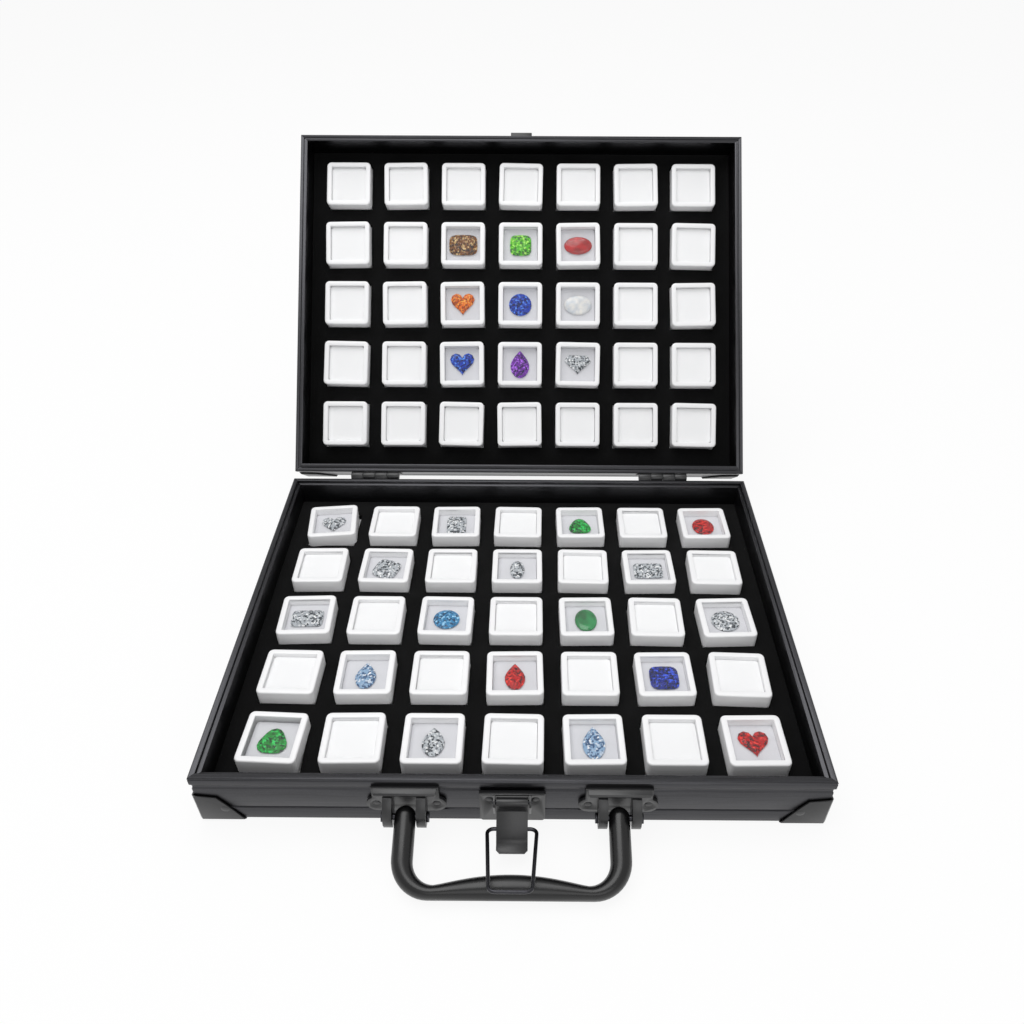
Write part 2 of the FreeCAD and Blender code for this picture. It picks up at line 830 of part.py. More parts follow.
def handle_bracket(x):
    # Drawn with the case's face at y = 0 and the rim at z = 0.
    pin_y = -handle_pin_out
    pin_z = -handle_pin_down
    lobe_z = -bracket_lobe_down
    lobe_low, lobe_high = lobe_z - bracket_lobe_radius, lobe_z + bracket_lobe_radius
    reach = bracket_length / 2 - bracket_lobe_radius
    plate = box(-reach, reach, -bracket_thickness, 0, lobe_low, lobe_high)
    lobe = Part.Face(flat_ring(bracket_lobe_radius, barrel_sides)).extrude(V(0, 0, bracket_thickness))
    for side in (-reach, reach):
        plate = plate.fuse(moved(turned(lobe, 90, X_AXIS), side, 0, lobe_z))
    body_half = bracket_length / 2 - bracket_shoulder
    plate = plate.fuse(box(-body_half, body_half, -bracket_thickness, 0, lobe_z, -roof_down))
    roof = box(-roof_width / 2, roof_width / 2, -roof_out, 0, -roof_down - roof_thickness, -roof_down)
    roof_front = [e for e in roof.Edges if max(v.Y for v in e.Vertexes) < 1 - roof_out]
    solid = plate.fuse(roof.makeChamfer(roof_edge, roof_front))
    ear_top = -roof_down - roof_thickness
    ear = sheet([
        V(0, 0, ear_top),
        V(0, -ear_slope, ear_top),
        V(0, ear_nose - ear_out, ear_top - ear_slope),
        V(0, -ear_out, pin_z),
        V(0, pin_y - ear_under * ear_toe_share, pin_z - ear_under * ear_toe_share),
        V(0, pin_y, pin_z - ear_under),
        V(0, pin_y + ear_heel, pin_z - ear_under * ear_heel_share),
        V(0, -bracket_thickness, pin_z + handle_pin_radius),
        V(0, 0, pin_z + handle_pin_radius),
    ]).extrude(V(ear_thickness, 0, 0))
    for start in (-ear_gap / 2 - ear_thickness, ear_gap / 2):
        solid = solid.fuse(moved(ear, start, 0, 0))
    half = ear_gap / 2 + ear_thickness + 1
    solid = solid.cut(flat_rod(handle_pin_radius + pin_play, bore_sides, -half, half, pin_y, pin_z))
    for side in (-bracket_rivet_spacing / 2, bracket_rivet_spacing / 2):
        solid = solid.cut(rivet_recess(side, -bracket_thickness, lobe_z))
    return moved(solid.removeSplitter(), x, front, base_height)


def rivet_recess(x, y, z):
    # A countersunk dish that a flush rivet fills.
    rings = [flat_ring(rivet_recess_radius, bore_sides)]
    rings.append(flat_ring(rivet_recess_radius * rivet_recess_floor, bore_sides, rivet_recess_depth))
    return moved(turned(Part.makeLoft(rings, True, True), -90, X_AXIS), x, y, z)


# Draw latch


def latch_plate():
    half = latch_width / 2
    plate = box(-half, half, -latch_thickness, 0, -latch_bottom, -latch_top)
    plate = chamfered(plate, latch_corner, Y_AXIS)
    flange_half = half - latch_flange_end
    flange_low = -latch_top - latch_flange_height
    plate = plate.fuse(box(-flange_half, flange_half, -latch_flange_out, 0, flange_low, -latch_top))
    pin = (-lever_pin_out, -lever_pin_down)
    ear_radius = lever_eye_radius + latch_ear_rim
    ear_low = pin[1] - latch_ear_length
    ear = flat_rod(ear_radius, barrel_sides, 0, latch_ear_thickness, *pin)
    web = sheet([
        V(0, 0, pin[1] + ear_radius),
        V(0, pin[0], pin[1] + ear_radius),
        V(0, pin[0], pin[1]),
        V(0, pin[0] - ear_radius, pin[1]),
        V(0, pin[0] - latch_ear_foot, ear_low),
        V(0, 0, ear_low),
    ]).extrude(V(latch_ear_thickness, 0, 0))
    ear = ear.fuse(web)
    inner = lever_width / 2 + latch_ear_gap
    for start in (-inner - latch_ear_thickness, inner):
        plate = plate.fuse(moved(ear, start, 0, 0))
    plate = plate.cut(flat_rod(lever_pin_radius + pin_play, bore_sides, -half, half, *pin))
    for x in (-latch_rivet_spacing / 2, latch_rivet_spacing / 2):
        plate = plate.cut(rivet_recess(x, -latch_thickness, -latch_rivet_down))
    return moved(plate.removeSplitter(), 0, front, base_height)


def offset_strip(points, thickness):
    # A bent strip: the outer line, and the same line one thickness further in.
    inner = []
    for n, here in enumerate(points):
        before = points[max(n - 1, 0)]
        after = points[min(n + 1, len(points) - 1)]
        run = V(after[0] - before[0], after[1] - before[1], 0)
        run.normalize()
        inner.append((here[0] - run.y * thickness, here[1] + run.x * thickness))
    return list(points) + inner[::-1]


def latch_lever():
    # Side view in y and z: a rolled eye, a short drop, the flat back, a dip and a finger lip.
    eye = (-lever_pin_out, -lever_pin_down)
    bends = [(lever_eye_radius, 0), lever_back_start, lever_back_end, lever_dip, lever_dip_end, lever_tip]
    outer = [(eye[0] - out, eye[1] - down) for out, down in bends]
    line = offset_strip(outer, lever_sheet)
    half = lever_width / 2
    strip = sheet([V(-half, y, z) for y, z in line]).extrude(V(lever_width, 0, 0))
    tip = [e for e in strip.Edges if abs(e.tangentAt(0).x) < 0.1 and e.Length < 1.1 * lever_sheet]
    tip = [e for e in tip if e.CenterOfMass.z < outer[-1][1] + lever_sheet]
    strip = strip.makeChamfer(lever_tip_corner, tip)
    strip = strip.fuse(flat_rod(lever_eye_radius, barrel_sides, -half, half, *eye))
    pivot = (-loop_pivot_out, -loop_pivot_down)
    back = sheet([
        off_closed_plate(eye, cheek_start),
        V(0, *outer[1]),
        V(0, *outer[2]),
        V(0, pivot[0] - cheek_radius * cheek_corner[0], pivot[1] - cheek_radius * cheek_corner[1]),
        off_closed_plate(eye, cheek_end),
    ]).extrude(V(cheek_thickness, 0, 0))
    cheek = flat_rod(cheek_radius, bore_sides, 0, cheek_thickness, *pivot).fuse(back)
    for start in (-half, half - cheek_thickness):
        strip = strip.fuse(moved(cheek, start, 0, 0))
    strip = strip.cut(flat_rod(lever_pin_radius + pin_play, bore_sides, -half - 1, half + 1, *eye))
    strip = strip.cut(flat_rod(loop_wire / 2 + pin_play, bore_sides, -half - 1, half + 1, *pivot))
    return moved(strip.removeSplitter(), 0, front, base_height)


def off_closed_plate(eye, along):
    # The point of the open lever that, once closed, hangs this far under its pin just off the plate.
    gap = lever_pin_out - latch_thickness - lever_clearance
    return turned(Part.Vertex(V(0, gap, -along)), -latched_angle, X_AXIS).Point + V(0, *eye)


def latch_loop():
    # One wire bent to a tapered frame, its two ends turned in through the lever's cheeks.
    length = math.hypot(loop_out, loop_up)
    wide = (loop_width - loop_wire) / 2
    narrow = (loop_end_width - loop_wire) / 2
    stub = lever_width / 2 - cheek_thickness - loop_end_gap
    corners = [V(-stub, 0, 0), V(-wide, 0, 0), V(-narrow, -length, 0)]
    corners += [V(narrow, -length, 0), V(wide, 0, 0), V(stub, 0, 0)]
    frame = bent_wire(rounded(corners, loop_corner_radius), loop_wire / 2)
    droop = -math.degrees(math.atan2(loop_up, loop_out))
    frame = turned(frame, droop, X_AXIS)
    return moved(frame, 0, front - loop_pivot_out, base_height - loop_pivot_down)


def rounded(corners, radius):
    # The same line with an arc, as four chords, in place of each inner corner.
    points = [corners[0]]
    for n in range(1, len(corners) - 1):
        here = corners[n]
        back = (corners[n - 1] - here).normalize()
        on = (corners[n + 1] - here).normalize()
        half = back.getAngle(on) / 2
        middle_way = (back + on).normalize()
        centre = here + middle_way * (radius / math.sin(half))
        sweep = math.pi - 2 * half
        side = -1 if middle_way.cross(back).z > 0 else 1
        for step in range(loop_bend_steps + 1):
            angle = side * sweep * (0.5 - step / loop_bend_steps)
            out = FreeCAD.Rotation(Z_AXIS, math.degrees(angle)).multVec(middle_way * -radius)
            points.append(centre + out)
    return points + [corners[-1]]


def bent_wire(points, radius):
    # A many-sided wire along a line in the XY plane, mitred at every point.
    sections = []
    for n, here in enumerate(points):
        before = (here - points[n - 1]).normalize() if n else (points[1] - here).normalize()
        after = (points[n + 1] - here).normalize() if n + 1 < len(points) else before
        along = (before + after).normalize()
        stretch = 1 / math.cos(before.getAngle(after) / 2)
        sections.append(oval(here, V(-along.y, along.x, 0), radius * stretch, radius, wire_sides))
    return faceted(sections)


def latched_bar():
    # Where the loop's end bar comes when the lever is closed: height above the base's rim.
    arm_out = loop_pivot_out - lever_pin_out
    arm_down = loop_pivot_down - lever_pin_down
    arm = math.hypot(arm_out, arm_down)
    angle = math.atan2(arm_down, arm_out) + math.radians(latched_angle)
    pivot_out = lever_pin_out + arm * math.cos(angle)
    pivot_down = lever_pin_down + arm * math.sin(angle)
    length = math.hypot(loop_out, loop_up)
    return math.sqrt(length ** 2 - (hook_bar_out - pivot_out) ** 2) - pivot_down


def strike():
    # Drawn on the shut lid: a plate with an upturned hook for the loop's end bar.
    bar_up = latched_bar()
    reach = loop_wire / 2 + hook_clearance
    thick = strike_thickness
    floor = bar_up - reach
    half = strike_width / 2
    plate = box(-half, half, -thick, 0, floor - strike_below, floor + strike_above)
    plate = chamfered(plate, strike_corner, Y_AXIS)
    lip_inner = -(hook_bar_out + reach)
    lip_outer = lip_inner - thick
    low = floor - thick
    cut = hook_bend * (1 - math.sqrt(0.5))
    profile = wire(
        V(0, 0, low),
        [
            V(0, lip_outer + hook_bend, low),
            (V(0, lip_outer + cut, low + cut), V(0, lip_outer, low + hook_bend)),
            V(0, lip_outer, floor + hook_height),
            V(0, lip_outer - hook_lean, floor + hook_tip - hook_tip_drop),
            V(0, lip_outer - hook_lean / 2, floor + hook_tip),
            V(0, lip_inner, floor + hook_height + hook_inner_step),
            V(0, lip_inner, floor + hook_bend / 2),
            V(0, lip_inner + hook_bend / 2, floor),
            V(0, 0, floor),
        ],
    )
    hook = Part.Face(profile).extrude(V(hook_width, 0, 0))
    solid = plate.fuse(moved(hook, -hook_width / 2, 0, 0)).removeSplitter()
    return closed_lid(moved(solid, 0, front, base_height))


# The whole case

frame_rails("base", ("front", "right", "rear", "left"), base_rail_height, False, in_base)
add("base_panel", in_base(panel(base_rail_height)))
add("base_corner_keys", *[in_base(k) for k in corner_keys(base_rail_height)])
add("base_corner_guards", *[in_base(g) for g in corner_guards(base_rail_height)])
base_foam = (base_rail_height, base_foam_thickness, base_pocket_floor, base_turns, base_grid_shift)
add("base_foam", in_base(foam_insert(*base_foam)))

frame_rails("lid", ("rear", "right", "front", "left"), lid_height, True, in_lid)
add("lid_panel", in_lid(panel(lid_height)))
add("lid_corner_keys", *[in_lid(k) for k in corner_keys(lid_height)])
add("lid_corner_guards", *[in_lid(g) for g in corner_guards(lid_height)])
lid_foam = (lid_height, lid_foam_thickness, lid_pocket_floor, lid_turns, lid_grid_shift)
add("lid_foam", in_lid(foam_insert(*lid_foam)))

base_box_floor = under_panel + base_pocket_floor - base_rail_height
lid_box_floor = under_panel + lid_pocket_floor - lid_height
fill_half("base", in_base, base_box_floor, base_turns, base_grid_shift, base_contents)
fill_half("lid", in_lid, lid_box_floor, lid_turns, lid_grid_shift, lid_contents)
fill_loose_box(base_box_floor)

hinges()

add("handle", handle())
handle_places = (-handle_spacing / 2, handle_spacing / 2)
add("handle_brackets", *[handle_bracket(x) for x in handle_places])
add("handle_pins", *[handle_pin(x) for x in handle_places])

add("latch_plate", latch_plate())
add("latch_lever", latch_lever())
pin_half = lever_width / 2 + latch_ear_gap + latch_ear_thickness + lever_pin_end
lever_pin = rod(lever_pin_radius, -pin_half, pin_half, front - lever_pin_out, base_height - lever_pin_down)
add("latch_lever_pin", lever_pin)
add("latch_loop", latch_loop())
add("lid_strike", strike())

os.makedirs("parts", exist_ok=True)
for name, shape in nodes.items():
    if not shape.isValid():
        print(name, "is not valid")
    shape.exportStep(f"parts/{name}.step")
print(len(nodes), "nodes,", sum(len(s.Solids) for s in nodes.values()), "solids")
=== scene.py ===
import math
import random

import bpy
from mathutils import Matrix, Vector


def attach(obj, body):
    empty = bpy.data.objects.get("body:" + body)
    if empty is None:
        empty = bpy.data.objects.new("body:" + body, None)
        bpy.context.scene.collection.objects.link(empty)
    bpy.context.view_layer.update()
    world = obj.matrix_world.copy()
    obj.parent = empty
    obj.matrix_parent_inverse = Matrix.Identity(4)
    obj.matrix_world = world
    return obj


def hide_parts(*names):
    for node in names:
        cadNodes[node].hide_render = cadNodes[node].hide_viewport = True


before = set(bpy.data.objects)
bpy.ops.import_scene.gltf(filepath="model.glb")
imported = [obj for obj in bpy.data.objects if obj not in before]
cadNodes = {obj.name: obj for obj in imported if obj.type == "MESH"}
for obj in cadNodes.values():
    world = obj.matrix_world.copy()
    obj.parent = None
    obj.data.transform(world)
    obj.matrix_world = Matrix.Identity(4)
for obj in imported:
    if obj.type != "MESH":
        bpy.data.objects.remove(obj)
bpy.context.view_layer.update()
mm = 0.001
random.seed(12)
print("frame loaded:", len(cadNodes), "nodes")

# Sizes in millimetres

baseRim = 33.6
hingeAxis = Vector((0, 117.75, 33.75))
lidTilt = math.radians(180 - 131.6)
railSizes = {"edge": 0.22}
guardSizes = {"wall": 0.8, "edge": 0.2, "rivetIn": 13.2, "rivetDown": 23.5, "head": 2.2}
handleSizes = {"spacing": 99.6, "leg": 10.0, "reach": 35.9, "thickness": 11.0, "endThickness": 6.4, "depth": 10.6,
               "outerRadius": 17.5, "innerRadius": 10.0, "droop": 18.6, "gripSteps": 12, "bendSteps": 12,
               "domeSteps": 6, "sides": 28}
loopSizes = {"wire": 1.8, "half": 11.6, "endHalf": 9.3, "stub": 6.0, "corner": 3.0, "out": 36.2, "up": 12.5}
padSizes = {"size": 23.2, "corner": 1.6}
stoneSizes = {"points": 20, "bed": -4.4, "pavilion": 0.6, "facetRise": 0.06,
              "crown": ((0.2, 1.0), (0.55, 0.86), (0.55, 0.78), (0.15, 0.9)),
              "dome": ((0.2, 1.0), (0.5, 0.93), (0.4, 0.84), (0.2, 0.7), (0.1, 0.5), (0.05, 0.3))}


# Selecting and editing

def makeActive(piece):
    if bpy.context.object and bpy.context.object.mode != "OBJECT":
        bpy.ops.object.mode_set(mode="OBJECT")
    bpy.ops.object.select_all(action="DESELECT")
    piece.select_set(True)
    bpy.context.view_layer.objects.active = piece


def pickFaces(piece, wanted):
    # leaves the piece in edit mode with only the wanted faces selected; wanted takes a centre and a normal
    makeActive(piece)
    bpy.ops.object.mode_set(mode="EDIT")
    bpy.ops.mesh.select_mode(type="FACE")
    bpy.ops.mesh.select_all(action="DESELECT")
    bpy.ops.object.mode_set(mode="OBJECT")
    for face in piece.data.polygons:
        face.select = bool(wanted(face.center, face.normal))
    bpy.ops.object.mode_set(mode="EDIT")


def pickEdges(piece, wanted):
    makeActive(piece)
    bpy.ops.object.mode_set(mode="EDIT")
    bpy.ops.mesh.select_mode(type="EDGE")
    bpy.ops.mesh.select_all(action="DESELECT")
    bpy.ops.object.mode_set(mode="OBJECT")
    points = piece.data.vertices
    for edge in piece.data.edges:
        a, b = (points[i].co for i in edge.vertices)
        edge.select = bool(wanted(a, b))
    bpy.ops.object.mode_set(mode="EDIT")


def pickPoints(piece, wanted):
    makeActive(piece)
    bpy.ops.object.mode_set(mode="EDIT")
    bpy.ops.mesh.select_mode(type="VERT")
    bpy.ops.mesh.select_all(action="DESELECT")
    bpy.ops.object.mode_set(mode="OBJECT")
    for point in piece.data.vertices:
        point.select = bool(wanted(point.co))
    bpy.ops.object.mode_set(mode="EDIT")


def doneEditing():
    bpy.ops.object.mode_set(mode="OBJECT")


def startCube(name, low, high):
    middle = [(a + b) / 2 for a, b in zip(low, high)]
    size = [b - a for a, b in zip(low, high)]
    bpy.ops.object.select_all(action="DESELECT")
    bpy.ops.mesh.primitive_cube_add(size=1, location=middle, scale=size)
    return settle(name)


def settle(name=None):
    # moves the active object's place, turn and size into its mesh
    bpy.ops.object.transform_apply(location=True, rotation=True, scale=True)
    if name:
        bpy.context.object.name = name
        bpy.context.object.data.name = name
    return bpy.context.object


def runModifier(piece, kind, **settings):
    makeActive(piece)
    modifier = piece.modifiers.new(kind.title(), kind)
    for key, value in settings.items():
        setattr(modifier, key, value)
    bpy.ops.object.modifier_apply(modifier=modifier.name)


def smoothBy(piece, degrees):
    makeActive(piece)
    bpy.ops.object.shade_smooth_by_angle(angle=math.radians(degrees))


def copyTo(piece, place, name="copy"):
    # a copy with its own mesh, moved by a matrix
    copy = piece.copy()
    copy.data = piece.data.copy()
    copy.data.transform(place)
    copy.name = name
    bpy.context.collection.objects.link(copy)
    return copy


def joinAll(pieces, name):
    makeActive(pieces[0])
    for piece in pieces[1:]:
        piece.select_set(True)
    if len(pieces) > 1:
        bpy.ops.object.join()
    joined = bpy.context.object
    joined.name = name
    joined.data.name = name
    return joined


def throwAway(piece):
    bpy.data.objects.remove(piece, do_unlink=True)


def finishPiece(piece, body, slot, material, *nodes):
    # the piece rides on its body, takes its finish, and stands for CAD nodes; slot is not used
    piece.data.materials.clear()
    piece.data.materials.append(material)
    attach(piece, body)
    if nodes:
        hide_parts(*nodes)
    return piece


# Materials

def fromHex(code):
    # an sRGB hex colour as the linear numbers that a shader takes
    parts = [int(code[i:i + 2], 16) / 255 for i in (0, 2, 4)]
    return [p / 12.92 if p <= 0.04045 else ((p + 0.055) / 1.055) ** 2.4 for p in parts] + [1.0]


def addNode(tree, kind, settings=None, values=None, links=None):
    node = tree.nodes.new(kind)
    for key, value in (settings or {}).items():
        setattr(node, key, value)
    for key, value in (values or {}).items():
        node.inputs[key].default_value = value
    for key, output in (links or {}).items():
        tree.links.new(output, node.inputs[key])
    return node


def startMaterial(name, values):
    made = bpy.data.materials.new(name)
    made.use_nodes = True
    tree = made.node_tree
    shader = tree.nodes["Principled BSDF"]
    for key, value in values.items():
        shader.inputs[key].default_value = value
    coordinates = addNode(tree, "ShaderNodeTexCoord").outputs["Object"]
    return made, tree, shader, coordinates


def bumpFrom(tree, height, strength, depth):
    # depth is the pattern's real height in metres
    node = addNode(tree, "ShaderNodeBump", values={"Strength": strength, "Distance": depth},
                   links={"Height": height})
    return node.outputs["Normal"]


def blendColours(tree, share, first, second):
    # share is an output from 0 to 1, the colours are hex
    node = addNode(tree, "ShaderNodeMix", settings={"data_type": "RGBA"},
                   values={6: fromHex(first), 7: fromHex(second)}, links={0: share})
    return node.outputs[2]


aluminiumLook = {"dark": "3c3c3e", "light": "4e4e51", "roughness": 0.33, "dieLinesMm": 0.5, "speckMm": 0.25}


def anodisedAluminium(name, along):
    # black anodised extrusion: satin, a metal's wide highlights, faint die lines that run along the bar
    look = aluminiumLook
    made, tree, shader, coordinates = startMaterial(name, {"Metallic": 1.0, "Roughness": look["roughness"]})
    fine = 1000 / look["dieLinesMm"]
    stretch = [fine] * 3
    stretch["XY".index(along)] = fine / 60  # lines sixty times longer than wide
    run = addNode(tree, "ShaderNodeMapping", values={"Scale": stretch}, links={"Vector": coordinates})
    lines = addNode(tree, "ShaderNodeTexNoise", values={"Scale": 1.0, "Detail": 3.0},
                    links={"Vector": run.outputs[0]})
    speck = addNode(tree, "ShaderNodeTexNoise", values={"Scale": 1000 / look["speckMm"], "Detail": 2.0},
                    links={"Vector": coordinates})
    both = addNode(tree, "ShaderNodeMath", settings={"operation": "MULTIPLY"},
                   links={0: lines.outputs[0], 1: speck.outputs[0]})
    spread = addNode(tree, "ShaderNodeMapRange", values={"From Min": 0.12, "From Max": 0.4},
                     links={"Value": both.outputs[0]})
    tree.links.new(blendColours(tree, spread.outputs[0], look["dark"], look["light"]), shader.inputs["Base Color"])
    satin = addNode(tree, "ShaderNodeMapRange", values={"To Min": look["roughness"] - 0.05,
                                                          "To Max": look["roughness"] + 0.07},
                    links={"Value": lines.outputs[0]})
    tree.links.new(satin.outputs[0], shader.inputs["Roughness"])
    tree.links.new(bumpFrom(tree, lines.outputs[0], 0.25, 0.00002), shader.inputs["Normal"])
    return made


steelPaintLook = {"dark": "161617", "light": "202022", "roughness": 0.36, "peelMm": 1.6, "grainMm": 0.2}


def paintedSteel():
    # black baked enamel on pressed steel: an even satin skin with a slight orange peel
    look = steelPaintLook
    made, tree, shader, coordinates = startMaterial("black baked enamel on steel",
                                                    {"Roughness": look["roughness"], "Coat Weight": 0.25,
                                                     "Coat Roughness": 0.3})
    peel = addNode(tree, "ShaderNodeTexNoise", values={"Scale": 1000 / look["peelMm"], "Detail": 2.0},
                   links={"Vector": coordinates})
    grain = addNode(tree, "ShaderNodeTexNoise", values={"Scale": 1000 / look["grainMm"], "Detail": 1.0},
                    links={"Vector": coordinates})
    tree.links.new(blendColours(tree, peel.outputs[0], look["dark"], look["light"]), shader.inputs["Base Color"])
    satin = addNode(tree, "ShaderNodeMapRange", values={"To Min": look["roughness"] - 0.08,
                                                          "To Max": look["roughness"] + 0.1},
                    links={"Value": grain.outputs[0]})
    tree.links.new(satin.outputs[0], shader.inputs["Roughness"])
    tree.links.new(bumpFrom(tree, peel.outputs[0], 0.3, 0.00004), shader.inputs["Normal"])
    return made


def blackenedSteel():
    # oxidised steel wire and pins: dark metal, tighter highlights, drawn marks
    made, tree, shader, coordinates = startMaterial("blackened steel wire", {"Metallic": 1.0, "Roughness": 0.32})
    marks = addNode(tree, "ShaderNodeTexNoise", values={"Scale": 1000 / 0.6, "Detail": 4.0},
                    links={"Vector": coordinates})
    tree.links.new(blendColours(tree, marks.outputs[0], "2e2e31", "4c4c50"), shader.inputs["Base Color"])
    rough = addNode(tree, "ShaderNodeMapRange", values={"To Min": 0.24, "To Max": 0.42},
                    links={"Value": marks.outputs[0]})
    tree.links.new(rough.outputs[0], shader.inputs["Roughness"])
    return made


handleLook = {"dark": "0a0a0b", "light": "121213", "roughness": 0.27, "textureMm": 0.35}


def mouldedNylon():
    # injection moulded black nylon: dark, half gloss, a fine spark-eroded texture
    look = handleLook
    made, tree, shader, coordinates = startMaterial("moulded black nylon", {"Roughness": look["roughness"]})
    cloud = addNode(tree, "ShaderNodeTexNoise", values={"Scale": 1000 / 9.0, "Detail": 3.0},
                    links={"Vector": coordinates})
    spark = addNode(tree, "ShaderNodeTexNoise", values={"Scale": 1000 / look["textureMm"], "Detail": 2.0},
                    links={"Vector": coordinates})
    tree.links.new(blendColours(tree, cloud.outputs[0], look["dark"], look["light"]), shader.inputs["Base Color"])
    rough = addNode(tree, "ShaderNodeMapRange", values={"To Min": look["roughness"] - 0.06,
                                                          "To Max": look["roughness"] + 0.1},
                    links={"Value": cloud.outputs[0]})
    tree.links.new(rough.outputs[0], shader.inputs["Roughness"])
    tree.links.new(bumpFrom(tree, spark.outputs[0], 0.25, 0.00003), shader.inputs["Normal"])
    return made


foamLook = {"dark": "050505", "light": "0d0d0e", "fibreMm": 0.35, "patchMm": 14.0}


def flockedFoam():
    # black flocked foam: soaks up nearly all light, short fibres make it a little uneven
    look = foamLook
    made, tree, shader, coordinates = startMaterial("black flocked foam",
                                                    {"Roughness": 1.0, "Specular IOR Level": 0.15,
                                                     "Sheen Weight": 0.06, "Sheen Roughness": 0.5})
    fibre = addNode(tree, "ShaderNodeTexNoise", values={"Scale": 1000 / look["fibreMm"], "Detail": 3.0},
                    links={"Vector": coordinates})
    patch = addNode(tree, "ShaderNodeTexNoise", values={"Scale": 1000 / look["patchMm"], "Detail": 3.0},
                    links={"Vector": coordinates})
    both = addNode(tree, "ShaderNodeMath", settings={"operation": "MULTIPLY"},
                   links={0: fibre.outputs[0], 1: patch.outputs[0]})
    spread = addNode(tree, "ShaderNodeMapRange", values={"From Min": 0.1, "From Max": 0.42},
                     links={"Value": both.outputs[0]})
    tree.links.new(blendColours(tree, spread.outputs[0], look["dark"], look["light"]), shader.inputs["Base Color"])
    tree.links.new(bumpFrom(tree, fibre.outputs[0], 0.6, 0.0002), shader.inputs["Normal"])
    return made


def whitePolystyrene(name, shade, tint):
    # moulded white polystyrene: half gloss, clean, with the slightest flow marks
    made, tree, shader, coordinates = startMaterial(name, {"Roughness": 0.32})
    flow = addNode(tree, "ShaderNodeTexNoise", values={"Scale": 1000 / 11.0, "Detail": 2.0},
                   links={"Vector": coordinates})
    grain = addNode(tree, "ShaderNodeTexNoise", values={"Scale": 1000 / 0.4, "Detail": 2.0},
                    links={"Vector": coordinates})
    tree.links.new(blendColours(tree, flow.outputs[0], shade, tint), shader.inputs["Base Color"])
    rough = addNode(tree, "ShaderNodeMapRange", values={"To Min": 0.26, "To Max": 0.4},
                    links={"Value": flow.outputs[0]})
    tree.links.new(rough.outputs[0], shader.inputs["Roughness"])
    tree.links.new(bumpFrom(tree, grain.outputs[0], 0.1, 0.00002), shader.inputs["Normal"])
    return made


def padFoam(name, shade, tint):
    # fine cell foam in the gem boxes: matt, with cells a third of a millimetre wide
    made, tree, shader, coordinates = startMaterial(name, {"Roughness": 0.9, "Specular IOR Level": 0.2})
    cells = addNode(tree, "ShaderNodeTexVoronoi", values={"Scale": 1000 / 0.33}, links={"Vector": coordinates})
    cloud = addNode(tree, "ShaderNodeTexNoise", values={"Scale": 1000 / 8.0, "Detail": 2.0},
                    links={"Vector": coordinates})
    tree.links.new(blendColours(tree, cloud.outputs[0], shade, tint), shader.inputs["Base Color"])
    tree.links.new(bumpFrom(tree, cells.outputs[0], 0.25, 0.0001), shader.inputs["Normal"])
    return made


def clearAcrylic():
    # clear acrylic panes: a faint grey veil and a tight shine
    made, tree, shader, coordinates = startMaterial("clear acrylic pane",
                                                    {"Base Color": fromHex("c8cccf"), "Alpha": 0.04, "Roughness": 0.06})
    made.surface_render_method = "BLENDED"
    return made


def panelSkin():
    # black laminate skin on thin board: fine pebbled grain
    made, tree, shader, coordinates = startMaterial("black pebbled laminate", {"Roughness": 0.55})
    pebble = addNode(tree, "ShaderNodeTexVoronoi", values={"Scale": 1000 / 0.9}, links={"Vector": coordinates})
    cloud = addNode(tree, "ShaderNodeTexNoise", values={"Scale": 1000 / 25.0, "Detail": 3.0},
                    links={"Vector": coordinates})
    tree.links.new(blendColours(tree, cloud.outputs[0], "1a1a1c", "242426"), shader.inputs["Base Color"])
    tree.links.new(bumpFrom(tree, pebble.outputs[0], 0.5, 0.00015), shader.inputs["Normal"])
    return made


def cutGem(name, deep, middle, spark, cellMm=1.0):
    # a cut stone's glitter as painted reflections: random cells painted dark, coloured or bright in the base colour
    # stand in for facets throwing back light
    made, tree, shader, coordinates = startMaterial(name, {"Roughness": 0.12, "Specular IOR Level": 0.15})
    cells = addNode(tree, "ShaderNodeTexVoronoi", values={"Scale": 1000 / cellMm}, links={"Vector": coordinates})
    parts = addNode(tree, "ShaderNodeSeparateColor", links={"Color": cells.outputs["Color"]})
    paintedGlintRamp = addNode(tree, "ShaderNodeValToRGB", links={"Fac": parts.outputs[0]})
    paintedGlintRamp.color_ramp.interpolation = "LINEAR"
    stops = paintedGlintRamp.color_ramp.elements
    # the stops run from a painted dark reflection (deep) through the stone's body colour (middle) to a painted glint
    # (spark)
    stops[0].color = fromHex(deep)
    stops[1].color = fromHex(spark)
    for position, code in ((0.22, deep), (0.45, middle), (0.75, middle)):
        stops.new(position).color = fromHex(code)
    tree.links.new(paintedGlintRamp.outputs[0], shader.inputs["Base Color"])
    tree.links.new(bumpFrom(tree, parts.outputs[1], 0.5, 0.0002), shader.inputs["Normal"])
    return made


def domedGem(name, deep, light):
    # a polished cabochon: cloudy colour under a wet shine
    made, tree, shader, coordinates = startMaterial(name, {"Roughness": 0.12, "Coat Weight": 0.25, "Coat Roughness": 0.03})
    cloud = addNode(tree, "ShaderNodeTexNoise", values={"Scale": 1000 / 5.0, "Detail": 3.0}, links={"Vector": coordinates})
    spread = addNode(tree, "ShaderNodeMapRange", values={"From Min": 0.35, "From Max": 0.65}, links={"Value": cloud.outputs[0]})
    tree.links.new(blendColours(tree, spread.outputs[0], deep, light), shader.inputs["Base Color"])
    return made


